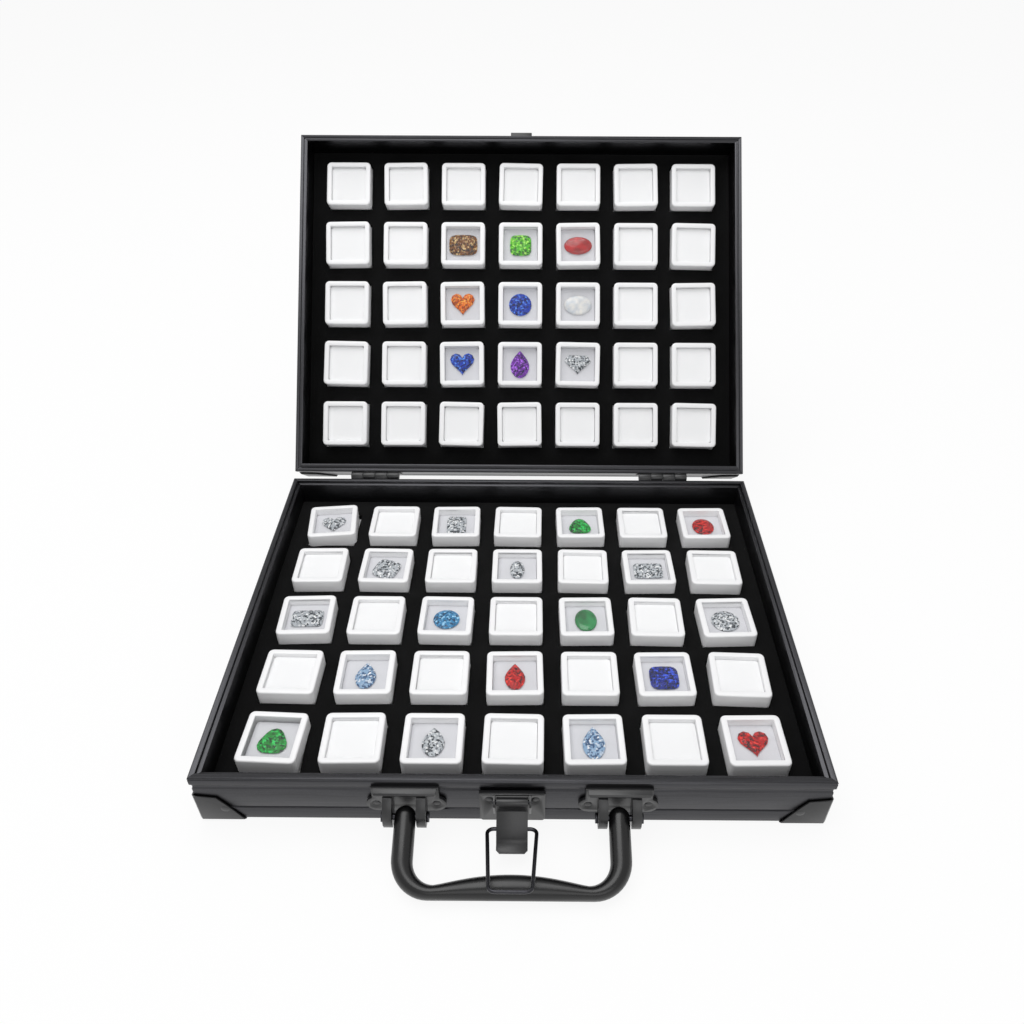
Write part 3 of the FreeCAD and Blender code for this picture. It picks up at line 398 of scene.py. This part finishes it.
railX = anodisedAluminium("black anodised aluminium, along the width", "X")
railY = anodisedAluminium("black anodised aluminium, along the depth", "Y")
enamel = paintedSteel()
wireSteel = blackenedSteel()
nylon = mouldedNylon()
foamBlack = flockedFoam()
coverWhite = whitePolystyrene("white polystyrene cover", "f2f2f3", "f7f7f8")
trayWhite = whitePolystyrene("white polystyrene tray", "ebebed", "f2f2f3")
# the stone boxes' pad colour is painted shade: the same pad foam as the empties, greyed for the shade deep under their
# panes
padPaintedShade = padFoam("pad foam greyed as painted shade", "d6d6da", "e0e0e4")
padWhite = padFoam("white pad foam", "fafafb", "fefefe")
acrylic = clearAcrylic()
laminate = panelSkin()
# each cut stone's colours: painted dark reflection, body colour, painted glint
clearGem = cutGem("clear cut stone", "3c4045", "b4b9be", "ffffff")
rubyGem = cutGem("red cut stone", "4c0000", "c00000", "ff4030", 1.0)
emeraldGem = cutGem("green cut stone", "002c08", "008a22", "34d864", 1.0)
sapphireGem = cutGem("dark blue cut stone", "02042c", "0c1c88", "3c60f0")
royalGem = cutGem("blue cut stone", "000c4c", "0838b4", "5c9cff")
aquaGem = cutGem("blue topaz cut stone", "083c60", "2c84b8", "a8e0ff")
skyGem = cutGem("pale blue cut stone", "3c5a80", "90b0d0", "ffffff")
topazGem = cutGem("brown and gold cut stone", "241002", "7c480c", "f0d090")
limeGem = cutGem("lime cut stone", "1c6000", "54c408", "c8ff70")
orangeGem = cutGem("orange cut stone", "943800", "ec7000", "ffc050")
purpleGem = cutGem("purple cut stone", "200440", "701ca4", "c478ff")
redDome = domedGem("red cabochon", "900000", "c40808")
opalDome = domedGem("opal cabochon", "c9cfd6", "f3efe8")
greenDome = domedGem("green cabochon", "006024", "129048")

# half, row and column of each filled box: cut, width and length in mm, turn in degrees, look
stones = {
    ("base", 1, 1): ("heart", 15.5, 14.5, 0, clearGem),
    ("base", 1, 3): ("emerald", 12.3, 17.5, 0, clearGem),
    ("base", 1, 5): ("trillion", 14.0, 14.5, 0, emeraldGem),
    ("base", 1, 7): ("oval", 13.8, 15.5, 0, rubyGem),
    ("base", 2, 2): ("cushion", 15.0, 15.5, -20, clearGem),
    ("base", 2, 4): ("oval", 8.7, 15.5, 0, clearGem),
    ("base", 2, 6): ("emerald", 17.7, 13.0, 0, clearGem),
    ("base", 3, 1): ("emerald", 18.0, 12.5, 0, clearGem),
    ("base", 3, 3): ("oval", 15.0, 14.5, 0, aquaGem),
    ("base", 3, 5): ("cabochon", 12.6, 17.0, 0, greenDome),
    ("base", 3, 7): ("oval", 16.0, 15.5, 0, clearGem),
    ("base", 4, 2): ("pear", 11.0, 17.5, 0, skyGem),
    ("base", 4, 4): ("pear", 10.8, 17.5, 0, rubyGem),
    ("base", 4, 6): ("cushion", 15.5, 15.5, 0, sapphireGem),
    ("base", 5, 1): ("trillion", 14.6, 14.6, 0, emeraldGem),
    ("base", 5, 3): ("pear", 11.2, 17.0, 0, clearGem),
    ("base", 5, 5): ("pear", 11.2, 18.8, 0, skyGem),
    ("base", 5, 7): ("heart", 15.4, 15.0, 0, rubyGem),
    ("lid", 2, 3): ("cushion", 19.6, 14.4, 0, topazGem),
    ("lid", 2, 4): ("cushion", 14.7, 14.4, 0, limeGem),
    ("lid", 2, 5): ("cabochon", 19.3, 12.3, 0, redDome),
    ("lid", 3, 3): ("heart", 16.3, 15.2, 0, orangeGem),
    ("lid", 3, 4): ("oval", 15.5, 15.5, 0, royalGem),
    ("lid", 3, 5): ("cabochon", 19.0, 13.4, 0, opalDome),
    ("lid", 4, 3): ("heart", 16.6, 15.2, 0, royalGem),
    ("lid", 4, 4): ("pear", 12.8, 18.8, 0, purpleGem),
    ("lid", 4, 5): ("profile", 18.3, 13.0, 0, clearGem),
}


def paint(nodeNames, material):
    for nodeName in nodeNames:
        node = cadNodes[nodeName]
        node.data.materials.clear()
        node.data.materials.append(material)


for half in ("base", "lid"):
    paint([half + "_front_rail", half + "_rear_rail"], railX)
    paint([half + "_left_rail", half + "_right_rail", half + "_corner_keys"], railY)
    paint([half + "_panel"], laminate)
    paint([half + "_corner_guards"], enamel)
    paint([half + "_foam"], foamBlack)
    paint([half + f"_row_{row}_covers" for row in range(1, 6)], coverWhite)
    paint([half + f"_row_{row}_trays" for row in range(1, 6)], trayWhite)
    paint([half + "_windows"], acrylic)
    paint([half + "_pads", half + "_stones"], padPaintedShade)
paint(["hinge_base_leaves", "hinge_lid_leaves", "handle_brackets", "latch_plate", "latch_lever", "lid_strike"], enamel)
paint(["hinge_pins", "handle_pins", "latch_lever_pin", "latch_loop"], wireSteel)
paint(["handle"], nylon)
paint(["gem_box_cover"], coverWhite)
paint(["gem_box_tray"], trayWhite)
paint(["gem_box_pad", "gem_box_stone"], padPaintedShade)
paint(["gem_box_window"], acrylic)
print("materials ready")


# Gem boxes

def boxPlaces(nodeName, upward):
    # one matrix for each gem box cover in a node: its top's middle, its row direction and its upward direction
    node = cadNodes[nodeName]
    copy = node.copy()
    copy.data = node.data.copy()
    copy.parent = None
    bpy.context.collection.objects.link(copy)
    makeActive(copy)
    bpy.ops.object.mode_set(mode="EDIT")
    bpy.ops.mesh.select_all(action="SELECT")
    bpy.ops.mesh.remove_doubles(threshold=0.00001)
    bpy.ops.mesh.separate(type="LOOSE")
    doneEditing()
    parts = list(bpy.context.selected_objects)
    places = []
    for part in parts:
        points = [v.co.copy() for v in part.data.vertices]
        middle = sum(points, Vector()) / len(points)
        flat = max(part.data.polygons, key=lambda f: f.normal.dot(upward)).normal.copy()
        high = max(p.dot(flat) for p in points)
        across = Vector((1, 0, 0))
        for edge in part.data.edges:
            a, b = (part.data.vertices[i].co for i in edge.vertices)
            line = (b - a).normalized()
            if abs(line.x) > 0.99 and (b - a).length > 0.02 and abs(line.dot(flat)) < 0.001:
                across = line if line.x > 0 else -line
                break
        top = middle + flat * (high - middle.dot(flat))
        along = flat.cross(across)
        turn = Matrix((across, along, flat)).transposed()
        places.append(Matrix.Translation(top) @ turn.to_4x4())
        throwAway(part)
    return sorted(places, key=lambda m: m.translation.x)


upwards = {"base": Vector((0, 0, 1)), "lid": Vector((0, -math.sin(lidTilt), math.cos(lidTilt)))}
rowPlaces = {}
for half in ("base", "lid"):
    for row in range(1, 6):
        rowPlaces[half, row] = boxPlaces(half + f"_row_{row}_covers", upwards[half])
loosePlace = boxPlaces("gem_box_cover", upwards["base"])[0]
print("gem boxes placed:", sum(len(places) for places in rowPlaces.values()) + 1)

coverSizes = {"size": 30.0, "height": 11.5, "corner": 2.8, "opening": 23.6, "topEdge": 0.9, "innerEdge": 0.35,
              "recess": 0.7, "cavity": 26.8}


def gemCover(name, hasCavity):
    # a square cover with rounded corners and an opening for its pane, its top face's middle at the origin
    size = coverSizes
    half = size["size"] / 2 * mm
    low = -size["height"] * mm
    cover = startCube(name, (-half, -half, low), (half, half, 0))
    pickEdges(cover, lambda a, b: abs(a.z - b.z) > 0.001)
    bpy.ops.mesh.bevel(offset=size["corner"] * mm, segments=4, affect="EDGES")
    pickFaces(cover, lambda centre, normal: normal.z > 0.9)
    bpy.ops.mesh.inset(thickness=(size["corner"] - 0.1) * mm, use_even_offset=True)
    opened = size["size"] - 2 * size["corner"] + 0.2
    shrink = size["opening"] / opened
    bpy.ops.transform.resize(value=(shrink, shrink, 1))
    ledge = size["recess"] if hasCavity else size["height"]
    bpy.ops.mesh.extrude_region_move(TRANSFORM_OT_translate={"value": (0, 0, -ledge * mm)})
    if hasCavity:
        bpy.ops.mesh.extrude_region_move(TRANSFORM_OT_translate={"value": (0, 0, 0)})
        widen = size["cavity"] / size["opening"]
        bpy.ops.transform.resize(value=(widen, widen, 1))
        bpy.ops.mesh.extrude_region_move(TRANSFORM_OT_translate={"value": (0, 0, low + ledge * mm)})
    bpy.ops.mesh.delete(type="FACE")
    pickFaces(cover, lambda centre, normal: normal.z < -0.9 and centre.length < 2 * size["height"] * mm
              and abs(centre.x) < 0.001 and abs(centre.y) < 0.001)
    bpy.ops.mesh.delete(type="FACE")
    pickEdges(cover, lambda a, b: max(a.z, b.z) < low + 0.0001)
    bpy.ops.mesh.bridge_edge_loops()
    edge = half - 0.0005
    pickEdges(cover, lambda a, b: min(a.z, b.z) > -0.0001 and isOuter(a, size) and isOuter(b, size))
    bpy.ops.mesh.bevel(offset=size["topEdge"] * mm, segments=4, affect="EDGES")
    inner = size["opening"] / 2 * mm
    pickEdges(cover, lambda a, b: min(a.z, b.z) > -0.0001 and max(abs(a.x), abs(a.y)) < inner + 0.0001
              and max(abs(b.x), abs(b.y)) < inner + 0.0001)
    bpy.ops.mesh.bevel(offset=size["innerEdge"] * mm, segments=2, affect="EDGES")
    doneEditing()
    smoothBy(cover, 40)
    return cover


def isOuter(point, size):
    # on the rounded outline of the cover
    half = size["size"] / 2 * mm
    straight = half - size["corner"] * mm
    x, y = abs(point.x), abs(point.y)
    if x > straight and y > straight:
        return math.hypot(x - straight, y - straight) > size["corner"] * mm - 0.0002
    return max(x, y) > half - 0.0002


plainCover = gemCover("plain_cover", False)
for (half, row), places in rowPlaces.items():
    covers = [copyTo(plainCover, place) for place in places]
    joined = joinAll(covers, f"{half}_row_{row}_cover_frames")
    finishPiece(joined, half, "gem_box_cover_white", coverWhite, f"{half}_row_{row}_covers")
throwAway(plainCover)
looseCover = gemCover("loose_cover", True)
looseCover.data.transform(loosePlace)
looseCover.name = "gem_box_cover_frame"
finishPiece(looseCover, "gem_box_cover", "gem_box_cover_white", coverWhite, "gem_box_cover")
print("covers made")


# Helpers for the other pieces

def cadCopy(nodeName, name):
    # the node's own shape with its triangles joined again, ready for bevels
    node = cadNodes[nodeName]
    copy = node.copy()
    copy.data = node.data.copy()
    copy.parent = None
    copy.name = name
    copy.data.name = name
    bpy.context.collection.objects.link(copy)
    makeActive(copy)
    bpy.ops.object.mode_set(mode="EDIT")
    bpy.ops.mesh.select_all(action="SELECT")
    bpy.ops.mesh.remove_doubles(threshold=0.00001)
    bpy.ops.mesh.dissolve_limited(angle_limit=math.radians(1))
    doneEditing()
    return copy


def softened(nodeName, name, width, segments, fromAngle=40, smoothUpTo=40):
    piece = cadCopy(nodeName, name)
    runModifier(piece, "BEVEL", width=width * mm, segments=segments, limit_method="ANGLE",
                angle_limit=math.radians(fromAngle))
    smoothBy(piece, smoothUpTo)
    return piece


def growTube(name, stations, sides):
    # a tube in the XY plane grown ring by ring along -X; a station is its middle, its turn, half width, half height
    bpy.ops.object.select_all(action="DESELECT")
    bpy.ops.mesh.primitive_circle_add(vertices=sides, radius=1, fill_type="NGON", rotation=(0, -math.pi / 2, 0))
    tube = settle(name)
    middle, turn, wide, high = stations[0]
    bpy.ops.object.mode_set(mode="EDIT")
    bpy.ops.mesh.select_all(action="SELECT")
    bpy.ops.transform.resize(value=(1, wide * mm, high * mm))
    bpy.ops.transform.translate(value=middle * mm)
    for there, newTurn, newWide, newHigh in stations[1:]:
        bpy.ops.mesh.extrude_region_move(TRANSFORM_OT_translate={"value": (there - middle) * mm})
        bpy.ops.transform.rotate(value=turn - newTurn, orient_axis="Z", center_override=there * mm)
        axes = Matrix.Rotation(newTurn, 3, "Z")
        bpy.ops.transform.resize(value=(1, newWide / wide, newHigh / high), orient_type="GLOBAL",
                                 orient_matrix=axes, orient_matrix_type="GLOBAL", center_override=there * mm)
        middle, turn, wide, high = there, newTurn, newWide, newHigh
    doneEditing()
    return tube


def mirrorTube(tube):
    # the half grown to the left is closed by its mirror image
    pickFaces(tube, lambda centre, normal: abs(centre.x) < 0.00001)
    bpy.ops.mesh.delete(type="FACE")
    doneEditing()
    runModifier(tube, "MIRROR", use_clip=True, merge_threshold=0.00005)
    makeActive(tube)
    bpy.ops.object.mode_set(mode="EDIT")
    bpy.ops.mesh.select_all(action="SELECT")
    bpy.ops.mesh.normals_make_consistent(inside=False)
    doneEditing()
    smoothBy(tube, 50)


def bentPath(corners, radius, steps):
    # points and directions along a line of corners, each rounded
    path = []
    for n in range(1, len(corners)):
        here, before = corners[n], corners[n - 1]
        run = (here - before).normalized()
        heading = math.atan2(run.y, run.x) - math.pi
        if n == 1:
            path.append((before, heading))
        if n + 1 == len(corners):
            path.append((here, heading))
            break
        onward = (corners[n + 1] - here).normalized()
        bend = run.angle(onward)
        trim = radius * math.tan(bend / 2)
        side = 1 if run.cross(onward).z > 0 else -1
        normal = Vector((-run.y, run.x, 0)) * side
        centre = here - run * trim + normal * radius
        for step in range(steps + 1):
            angle = bend * step / steps
            spoke = Matrix.Rotation(side * angle, 3, "Z") @ -normal
            path.append((centre + spoke * radius, heading + side * angle))
    return path


# Rails, guards and fittings

for half in ("base", "lid"):
    for side, metal in (("front", railX), ("rear", railX), ("left", railY), ("right", railY)):
        rail = softened(f"{half}_{side}_rail", f"{half}_{side}_rail_extrusion", railSizes["edge"], 2, 15, 30)
        finishPiece(rail, half, "frame", metal, f"{half}_{side}_rail")
print("rails made")


def lobeRivets(half):
    # places of flush rivet heads in the guards' lobes, on every outer face
    rim, tilt = (baseRim, 0) if half == "base" else (0, 1)
    places = []
    for x in (-1, 1):
        for y in (-1, 1):
            inX = x * (150 + guardSizes["wall"])
            inY = y * (115 + guardSizes["wall"])
            along = guardSizes["rivetIn"]
            places.append((Vector((x * (150 - along), inY, -guardSizes["rivetDown"])), Vector((0, y, 0))))
            places.append((Vector((inX, y * (115 - along), -guardSizes["rivetDown"])), Vector((x, 0, 0))))
    return places


def halfPlace(half):
    # from a half drawn with its rim at zero height and its foam side up, to where that half is
    if half == "base":
        return Matrix.Translation((0, 0, baseRim * mm))
    flat = Matrix.Translation((0, (hingeAxis.y + 2.75 + 115) * mm, (baseRim) * mm))
    about = Matrix.Translation(hingeAxis * mm)
    return about @ Matrix.Rotation(lidTilt, 4, "X") @ about.inverted() @ flat


def dish(radius, depth):
    # a shallow dome, its axis along Z and its widest ring at the origin
    bpy.ops.object.select_all(action="DESELECT")
    bpy.ops.mesh.primitive_uv_sphere_add(segments=20, ring_count=10, radius=1, scale=(radius * mm, radius * mm, depth * mm))
    return settle("dish")


def rivetHeads(name, places, radius, height, sunk):
    head = dish(radius, height)
    heads = [copyTo(head, Matrix.Translation(at - out * sunk * mm) @ out.to_track_quat("Z", "Y").to_matrix().to_4x4())
             for at, out in places]
    throwAway(head)
    joined = joinAll(heads, name)
    smoothBy(joined, 60)
    return joined


for half in ("base", "lid"):
    guard = softened(half + "_corner_guards", half + "_corner_caps", guardSizes["edge"], 2)
    toHalf = halfPlace(half)
    turnOnly = toHalf.to_3x3()
    places = [(toHalf @ (at * mm), turnOnly @ out) for at, out in lobeRivets(half)]
    finishPiece(guard, half, "corner_guard", enamel, half + "_corner_guards")
    heads = rivetHeads(half + "_guard_rivets", places, guardSizes["head"], 0.4, 0.1)
    finishPiece(heads, half, "fitting", enamel)
print("guards made")

for nodeName, pieceName, body, slot, look, width in (
        ("handle_brackets", "handle_bracket_castings", "base", "fitting", enamel, 0.35),
        ("latch_plate", "latch_base_pressing", "base", "fitting", enamel, 0.2),
        ("latch_lever", "latch_lever_pressing", "latch_lever", "fitting", enamel, 0.22),
        ("lid_strike", "strike_pressing", "lid", "fitting", enamel, 0.2),
        ("hinge_base_leaves", "hinge_leaves_on_base", "base", "fitting", enamel, 0.15),
        ("hinge_lid_leaves", "hinge_leaves_on_lid", "lid", "fitting", enamel, 0.15),
        ("handle_pins", "handle_bolts", "base", "wire_and_pins", wireSteel, 0.25),
        ("hinge_pins", "hinge_pin_wires", "base", "wire_and_pins", wireSteel, 0.2),
        ("latch_lever_pin", "lever_pivot_pin", "base", "wire_and_pins", wireSteel, 0.2),
        ("gem_box_tray", "gem_box_tray_moulding", "gem_box", "gem_box_tray_white", trayWhite, 0.3)):
    piece = softened(nodeName, pieceName, width, 2)
    finishPiece(piece, body, slot, look, nodeName)

plateRivets = []
for x in (-handleSizes["spacing"] / 2, handleSizes["spacing"] / 2):
    for side in (-14.2, 14.2):
        plateRivets.append((Vector((x + side, -116.6, baseRim - 17.0)) * mm, Vector((0, -1, 0))))
for x in (-10.85, 10.85):
    plateRivets.append((Vector((x, -116.2, baseRim - 14.0)) * mm, Vector((0, -1, 0))))
finishPiece(rivetHeads("plate_rivets", plateRivets, 1.9, 0.45, 0.75), "base", "fitting", enamel)
print("fittings made")


def handleStations():
    # from the middle of the grip to the rounded end of the left leg, drawn with the pivots on the X axis
    size = handleSizes
    leg = size["leg"] / 2
    legX = -size["spacing"] / 2
    outer = Vector((legX - leg + size["outerRadius"], size["outerRadius"] - size["reach"], 0))
    gripInner = size["endThickness"] - size["reach"]
    inner = Vector((legX + leg + size["innerRadius"], gripInner + size["innerRadius"], 0))
    stations = []
    half = -inner.x
    for step in range(size["gripSteps"]):
        x = -half * step / size["gripSteps"]
        rise = (1 - (x / half) ** 2) ** 1.2
        wide = size["endThickness"] + (size["thickness"] - size["endThickness"]) * rise
        high = size["leg"] + (size["depth"] - size["leg"]) * rise
        stations.append((Vector((x, wide / 2 - size["reach"], 0)), 0, wide / 2, high / 2))
    for step in range(size["bendSteps"] + 1):
        turn = math.pi / 2 * (1 - step / size["bendSteps"])
        out = Vector((-math.cos(turn), -math.sin(turn), 0))
        far, near = outer + out * size["outerRadius"], inner + out * size["innerRadius"]
        across = near - far
        angle = math.atan2(across.y, across.x) - math.pi / 2
        stations.append(((far + near) / 2, angle, across.length / 2, leg))
    stations.append((Vector((legX, 0, 0)), -math.pi / 2, leg, leg))
    for step in range(1, size["domeSteps"] + 1):
        t = math.radians(82) * step / size["domeSteps"]
        stations.append((Vector((legX, leg * math.sin(t), 0)), -math.pi / 2, leg * math.cos(t), leg * math.cos(t)))
    return stations


bar = growTube("carrying_handle", handleStations(), handleSizes["sides"])
mirrorTube(bar)
bar.data.transform(Matrix.Translation((0, -0.1225, (baseRim - 18.0) * mm))
                   @ Matrix.Rotation(math.radians(handleSizes["droop"]), 4, "X"))
finishPiece(bar, "handle", "handle", nylon, "handle")

loopLength = math.hypot(loopSizes["out"], loopSizes["up"])
loopCorners = [Vector((0, -loopLength, 0)), Vector((-loopSizes["endHalf"], -loopLength, 0)),
               Vector((-loopSizes["half"], 0, 0)), Vector((-loopSizes["stub"], 0, 0))]
loopPath = bentPath(loopCorners, loopSizes["corner"], 6)
wireRadius = loopSizes["wire"] / 2
loop = growTube("latch_loop_wire", [(at, heading, wireRadius, wireRadius) for at, heading in loopPath], 14)
mirrorTube(loop)
loop.data.transform(Matrix.Translation((0, (-115 - 11.8) * mm, (baseRim - 20.7) * mm))
                    @ Matrix.Rotation(-math.atan2(loopSizes["up"], loopSizes["out"]), 4, "X"))
finishPiece(loop, "latch_loop", "wire_and_pins", wireSteel, "latch_loop")
print("handle and loop made")


# Foam

for half in ("base", "lid"):
    insert = softened(half + "_foam", half + "_foam_insert", 0.7, 3, 60, 50)
    finishPiece(insert, half, "foam", foamBlack, half + "_foam")
print("foam made")


# Pads and stones; a place's origin is the middle of a cover's top

def padBlock(name, low, high, crown):
    size = padSizes
    half = size["size"] / 2 * mm
    block = startCube(name, (-half, -half, low * mm), (half, half, high * mm))
    pickEdges(block, lambda a, b: abs(a.z - b.z) > 0.001)
    bpy.ops.mesh.bevel(offset=size["corner"] * mm, segments=4, affect="EDGES")
    pickFaces(block, lambda centre, normal: normal.z > 0.9)
    for rise, shrink in ((crown * 0.6, 0.93), (crown * 0.4, 0.75)):
        bpy.ops.mesh.extrude_region_move(TRANSFORM_OT_translate={"value": (0, 0, rise * mm)})
        bpy.ops.transform.resize(value=(shrink, shrink, 1))
    doneEditing()
    smoothBy(block, 60)
    return block


def outlinePoint(cut, t):
    # the stone's outline for a turn t from its top, within about one unit
    x, y = math.sin(t), math.cos(t)
    if cut in ("cushion", "emerald"):
        power = 0.5 if cut == "cushion" else 0.3
        return math.copysign(abs(x) ** power, x), math.copysign(abs(y) ** power, y)
    if cut == "trillion":
        reach = 0.9 + 0.1 * math.cos(3 * t)
        return x * reach, y * reach
    if cut == "pear":
        return x * (1 - 0.72 * max(0, (y + 0.2) / 1.2) ** 1.7), y
    if cut == "heart":
        return x ** 3, (13 * y - 5 * math.cos(2 * t) - 2 * math.cos(3 * t) - math.cos(4 * t)) / 15
    if cut == "profile":
        return x * (1 if y > 0.3 else max(0.05, (y + 1) / 1.3)), min(y, 0.8)
    return x, y


def cutStone(name, cut, width, length, look):
    size = stoneSizes
    bpy.ops.object.select_all(action="DESELECT")
    bpy.ops.mesh.primitive_circle_add(vertices=size["points"], radius=1, fill_type="NGON")
    gem = settle(name)
    shape = [outlinePoint(cut, math.atan2(v.co.x, v.co.y)) for v in gem.data.vertices]
    lowX, highX = min(p[0] for p in shape), max(p[0] for p in shape)
    lowY, highY = min(p[1] for p in shape), max(p[1] for p in shape)
    for point, (x, y) in zip(gem.data.vertices, shape):
        point.co.x = (x - (lowX + highX) / 2) / (highX - lowX) * width * mm
        point.co.y = (y - (lowY + highY) / 2) / (highY - lowY) * length * mm
        point.co.z = (size["bed"] + size["pavilion"]) * mm
    steps = size["dome"] if cut == "cabochon" else size["crown"]
    pickFaces(gem, lambda centre, normal: True)
    for rise, shrink in steps:
        bpy.ops.mesh.extrude_region_move(TRANSFORM_OT_translate={"value": (0, 0, rise * mm)})
        bpy.ops.transform.resize(value=(shrink, shrink, 1))
    pickFaces(gem, lambda centre, normal: centre.z < (size["bed"] + size["pavilion"] + 0.01) * mm)
    bpy.ops.mesh.extrude_region_move(TRANSFORM_OT_translate={"value": (0, 0, -size["pavilion"] * mm)})
    bpy.ops.transform.resize(value=(0.3, 0.3, 1))
    bpy.ops.mesh.select_all(action="SELECT")
    bpy.ops.mesh.normals_make_consistent(inside=False)
    doneEditing()
    if cut == "cabochon":
        smoothBy(gem, 60)
    else:
        low = (size["bed"] + size["pavilion"] + 0.3) * mm
        pickFaces(gem, lambda centre, normal: centre.z > low and normal.z < 0.98)
        bpy.ops.mesh.poke(offset=size["facetRise"] * mm)
        doneEditing()
    gem.data.materials.clear()
    gem.data.materials.append(look)
    return gem


stonePad = padBlock("stone_pad", -19.3, -4.7, 0.3)
emptyPad = padBlock("empty_pad", -11.5, -2.6, 0.25)
for half in ("base", "lid"):
    # the stone boxes' pads take the grey of painted shade, the empties' pads stay plain white
    paintedShadePads, whites = [], []
    for row in range(1, 6):
        columns = [c for c in range(1, 8) if (half, row, c) != ("base", 5, 1)]
        for column, place in zip(columns, rowPlaces[half, row]):
            if (half, row, column) in stones:
                paintedShadePads.append(copyTo(stonePad, place))
            else:
                whites.append(copyTo(emptyPad, place))
    for pads, kind, look in ((paintedShadePads, "stone", padPaintedShade), (whites, "empty", padWhite)):
        joined = joinAll(pads, f"{half}_{kind}_pads")
        finishPiece(joined, half, "pad", look, half + "_pads")
loosePad = copyTo(stonePad, loosePlace, "loose_box_pad")
finishPiece(loosePad, "gem_box", "pad", padPaintedShade, "gem_box_pad")
throwAway(stonePad)
throwAway(emptyPad)

for (half, row, column), (cut, width, length, turn, look) in stones.items():
    isLoose = (half, row, column) == ("base", 5, 1)
    places = rowPlaces[half, row]
    place = loosePlace if isLoose else places[column - 1 - (7 - len(places))]
    gem = cutStone(f"{half}_stone_{row}_{column}_{cut}", cut, width, length, look)
    gem.data.transform(place @ Matrix.Rotation(math.radians(turn), 4, "Z"))
    if isLoose:
        finishPiece(gem, "gem_box", "green_stone", look, "gem_box_stone")
    else:
        finishPiece(gem, half, "gemstone", look, half + "_stones")
print("pads and stones made")


# Camera, light and floor

cameraSizes = {"place": (7.1, -342.39, 378.65), "down": 39.213, "aside": 0.0038, "roll": 0.0037, "lens": 30.19,
               "shift": -0.01443}


def addCamera():
    data = bpy.data.cameras.new("camera")
    camera = bpy.data.objects.new("camera", data)
    bpy.context.collection.objects.link(camera)
    data.sensor_width = 36
    data.lens = cameraSizes["lens"]
    data.shift_x = cameraSizes["shift"]
    data.clip_start = 0.01
    data.clip_end = 50
    down = math.radians(cameraSizes["down"])
    turn = Matrix.Rotation(cameraSizes["aside"], 4, "Z") @ Matrix.Rotation(math.pi / 2 - down, 4, "X")
    turn = turn @ Matrix.Rotation(cameraSizes["roll"], 4, "Z")
    camera.matrix_world = Matrix.Translation(Vector(cameraSizes["place"]) * mm) @ turn
    bpy.context.scene.camera = camera


def addAreaLamp(name, place, aim, size, power):
    data = bpy.data.lights.new(name, "AREA")
    data.shape = "RECTANGLE"
    data.size, data.size_y = size
    data.energy = power
    lamp = bpy.data.objects.new(name, data)
    bpy.context.collection.objects.link(lamp)
    lamp.location = place
    lamp.rotation_euler = (Vector(aim) - Vector(place)).to_track_quat("-Z", "Y").to_euler()
    return lamp


def addFloor():
    bpy.ops.object.select_all(action="DESELECT")
    bpy.ops.mesh.primitive_plane_add(size=40, location=(0, 0, 0))
    floor = settle("floor")
    made = bpy.data.materials.new("white paper sweep")
    made.use_nodes = True
    tree = made.node_tree
    shader = tree.nodes["Principled BSDF"]
    shader.inputs["Base Color"].default_value = fromHex("f7f7f7")
    shader.inputs["Roughness"].default_value = 0.9
    lit = addNode(tree, "ShaderNodeEmission", values={"Color": fromHex("ffffff"), "Strength": 1.0})
    path = addNode(tree, "ShaderNodeLightPath")
    seen = addNode(tree, "ShaderNodeMath", settings={"operation": "MAXIMUM"},
                   links={0: path.outputs["Is Camera Ray"], 1: path.outputs["Is Glossy Ray"]})
    seen = addNode(tree, "ShaderNodeMath", settings={"operation": "MAXIMUM"},
                   links={0: seen.outputs[0], 1: path.outputs["Is Transmission Ray"]})
    share = addNode(tree, "ShaderNodeMath", settings={"operation": "MULTIPLY"}, values={1: 0.9},
                    links={0: seen.outputs[0]})
    mix = addNode(tree, "ShaderNodeMixShader", links={0: share.outputs[0], 1: shader.outputs[0], 2: lit.outputs[0]})
    tree.links.new(mix.outputs[0], tree.nodes["Material Output"].inputs["Surface"])
    floor.data.materials.append(made)


def addWorld(strength):
    world = bpy.data.worlds.new("studio")
    world.use_nodes = True
    bpy.context.scene.world = world
    tree = world.node_tree
    sky = tree.nodes["Background"]
    sky.inputs["Color"].default_value = fromHex("ffffff")
    path = addNode(tree, "ShaderNodeLightPath")
    seen = addNode(tree, "ShaderNodeMath", settings={"operation": "MAXIMUM"},
                   links={0: path.outputs["Is Camera Ray"], 1: path.outputs["Is Transmission Ray"]})
    shine = addNode(tree, "ShaderNodeMath", settings={"operation": "MULTIPLY"}, values={1: 0.3},
                    links={0: path.outputs["Is Glossy Ray"]})
    seen = addNode(tree, "ShaderNodeMath", settings={"operation": "MAXIMUM"}, links={0: seen.outputs[0], 1: shine.outputs[0]})
    level = addNode(tree, "ShaderNodeMapRange", values={"To Min": strength, "To Max": 1.0},
                    links={"Value": seen.outputs[0]})
    tree.links.new(level.outputs[0], sky.inputs["Strength"])


addCamera()
addFloor()
addWorld(0.5)
addAreaLamp("overhead softbox", (-0.25, 0.15, 1.5), (0, 0.05, 0.05), (1.4, 1.2), 14)
addAreaLamp("front fill", (0.3, -1.5, 0.9), (0, 0, 0.1), (1.2, 0.9), 4)
bpy.context.scene.view_settings.view_transform = "Standard"
print("camera and lamps set")
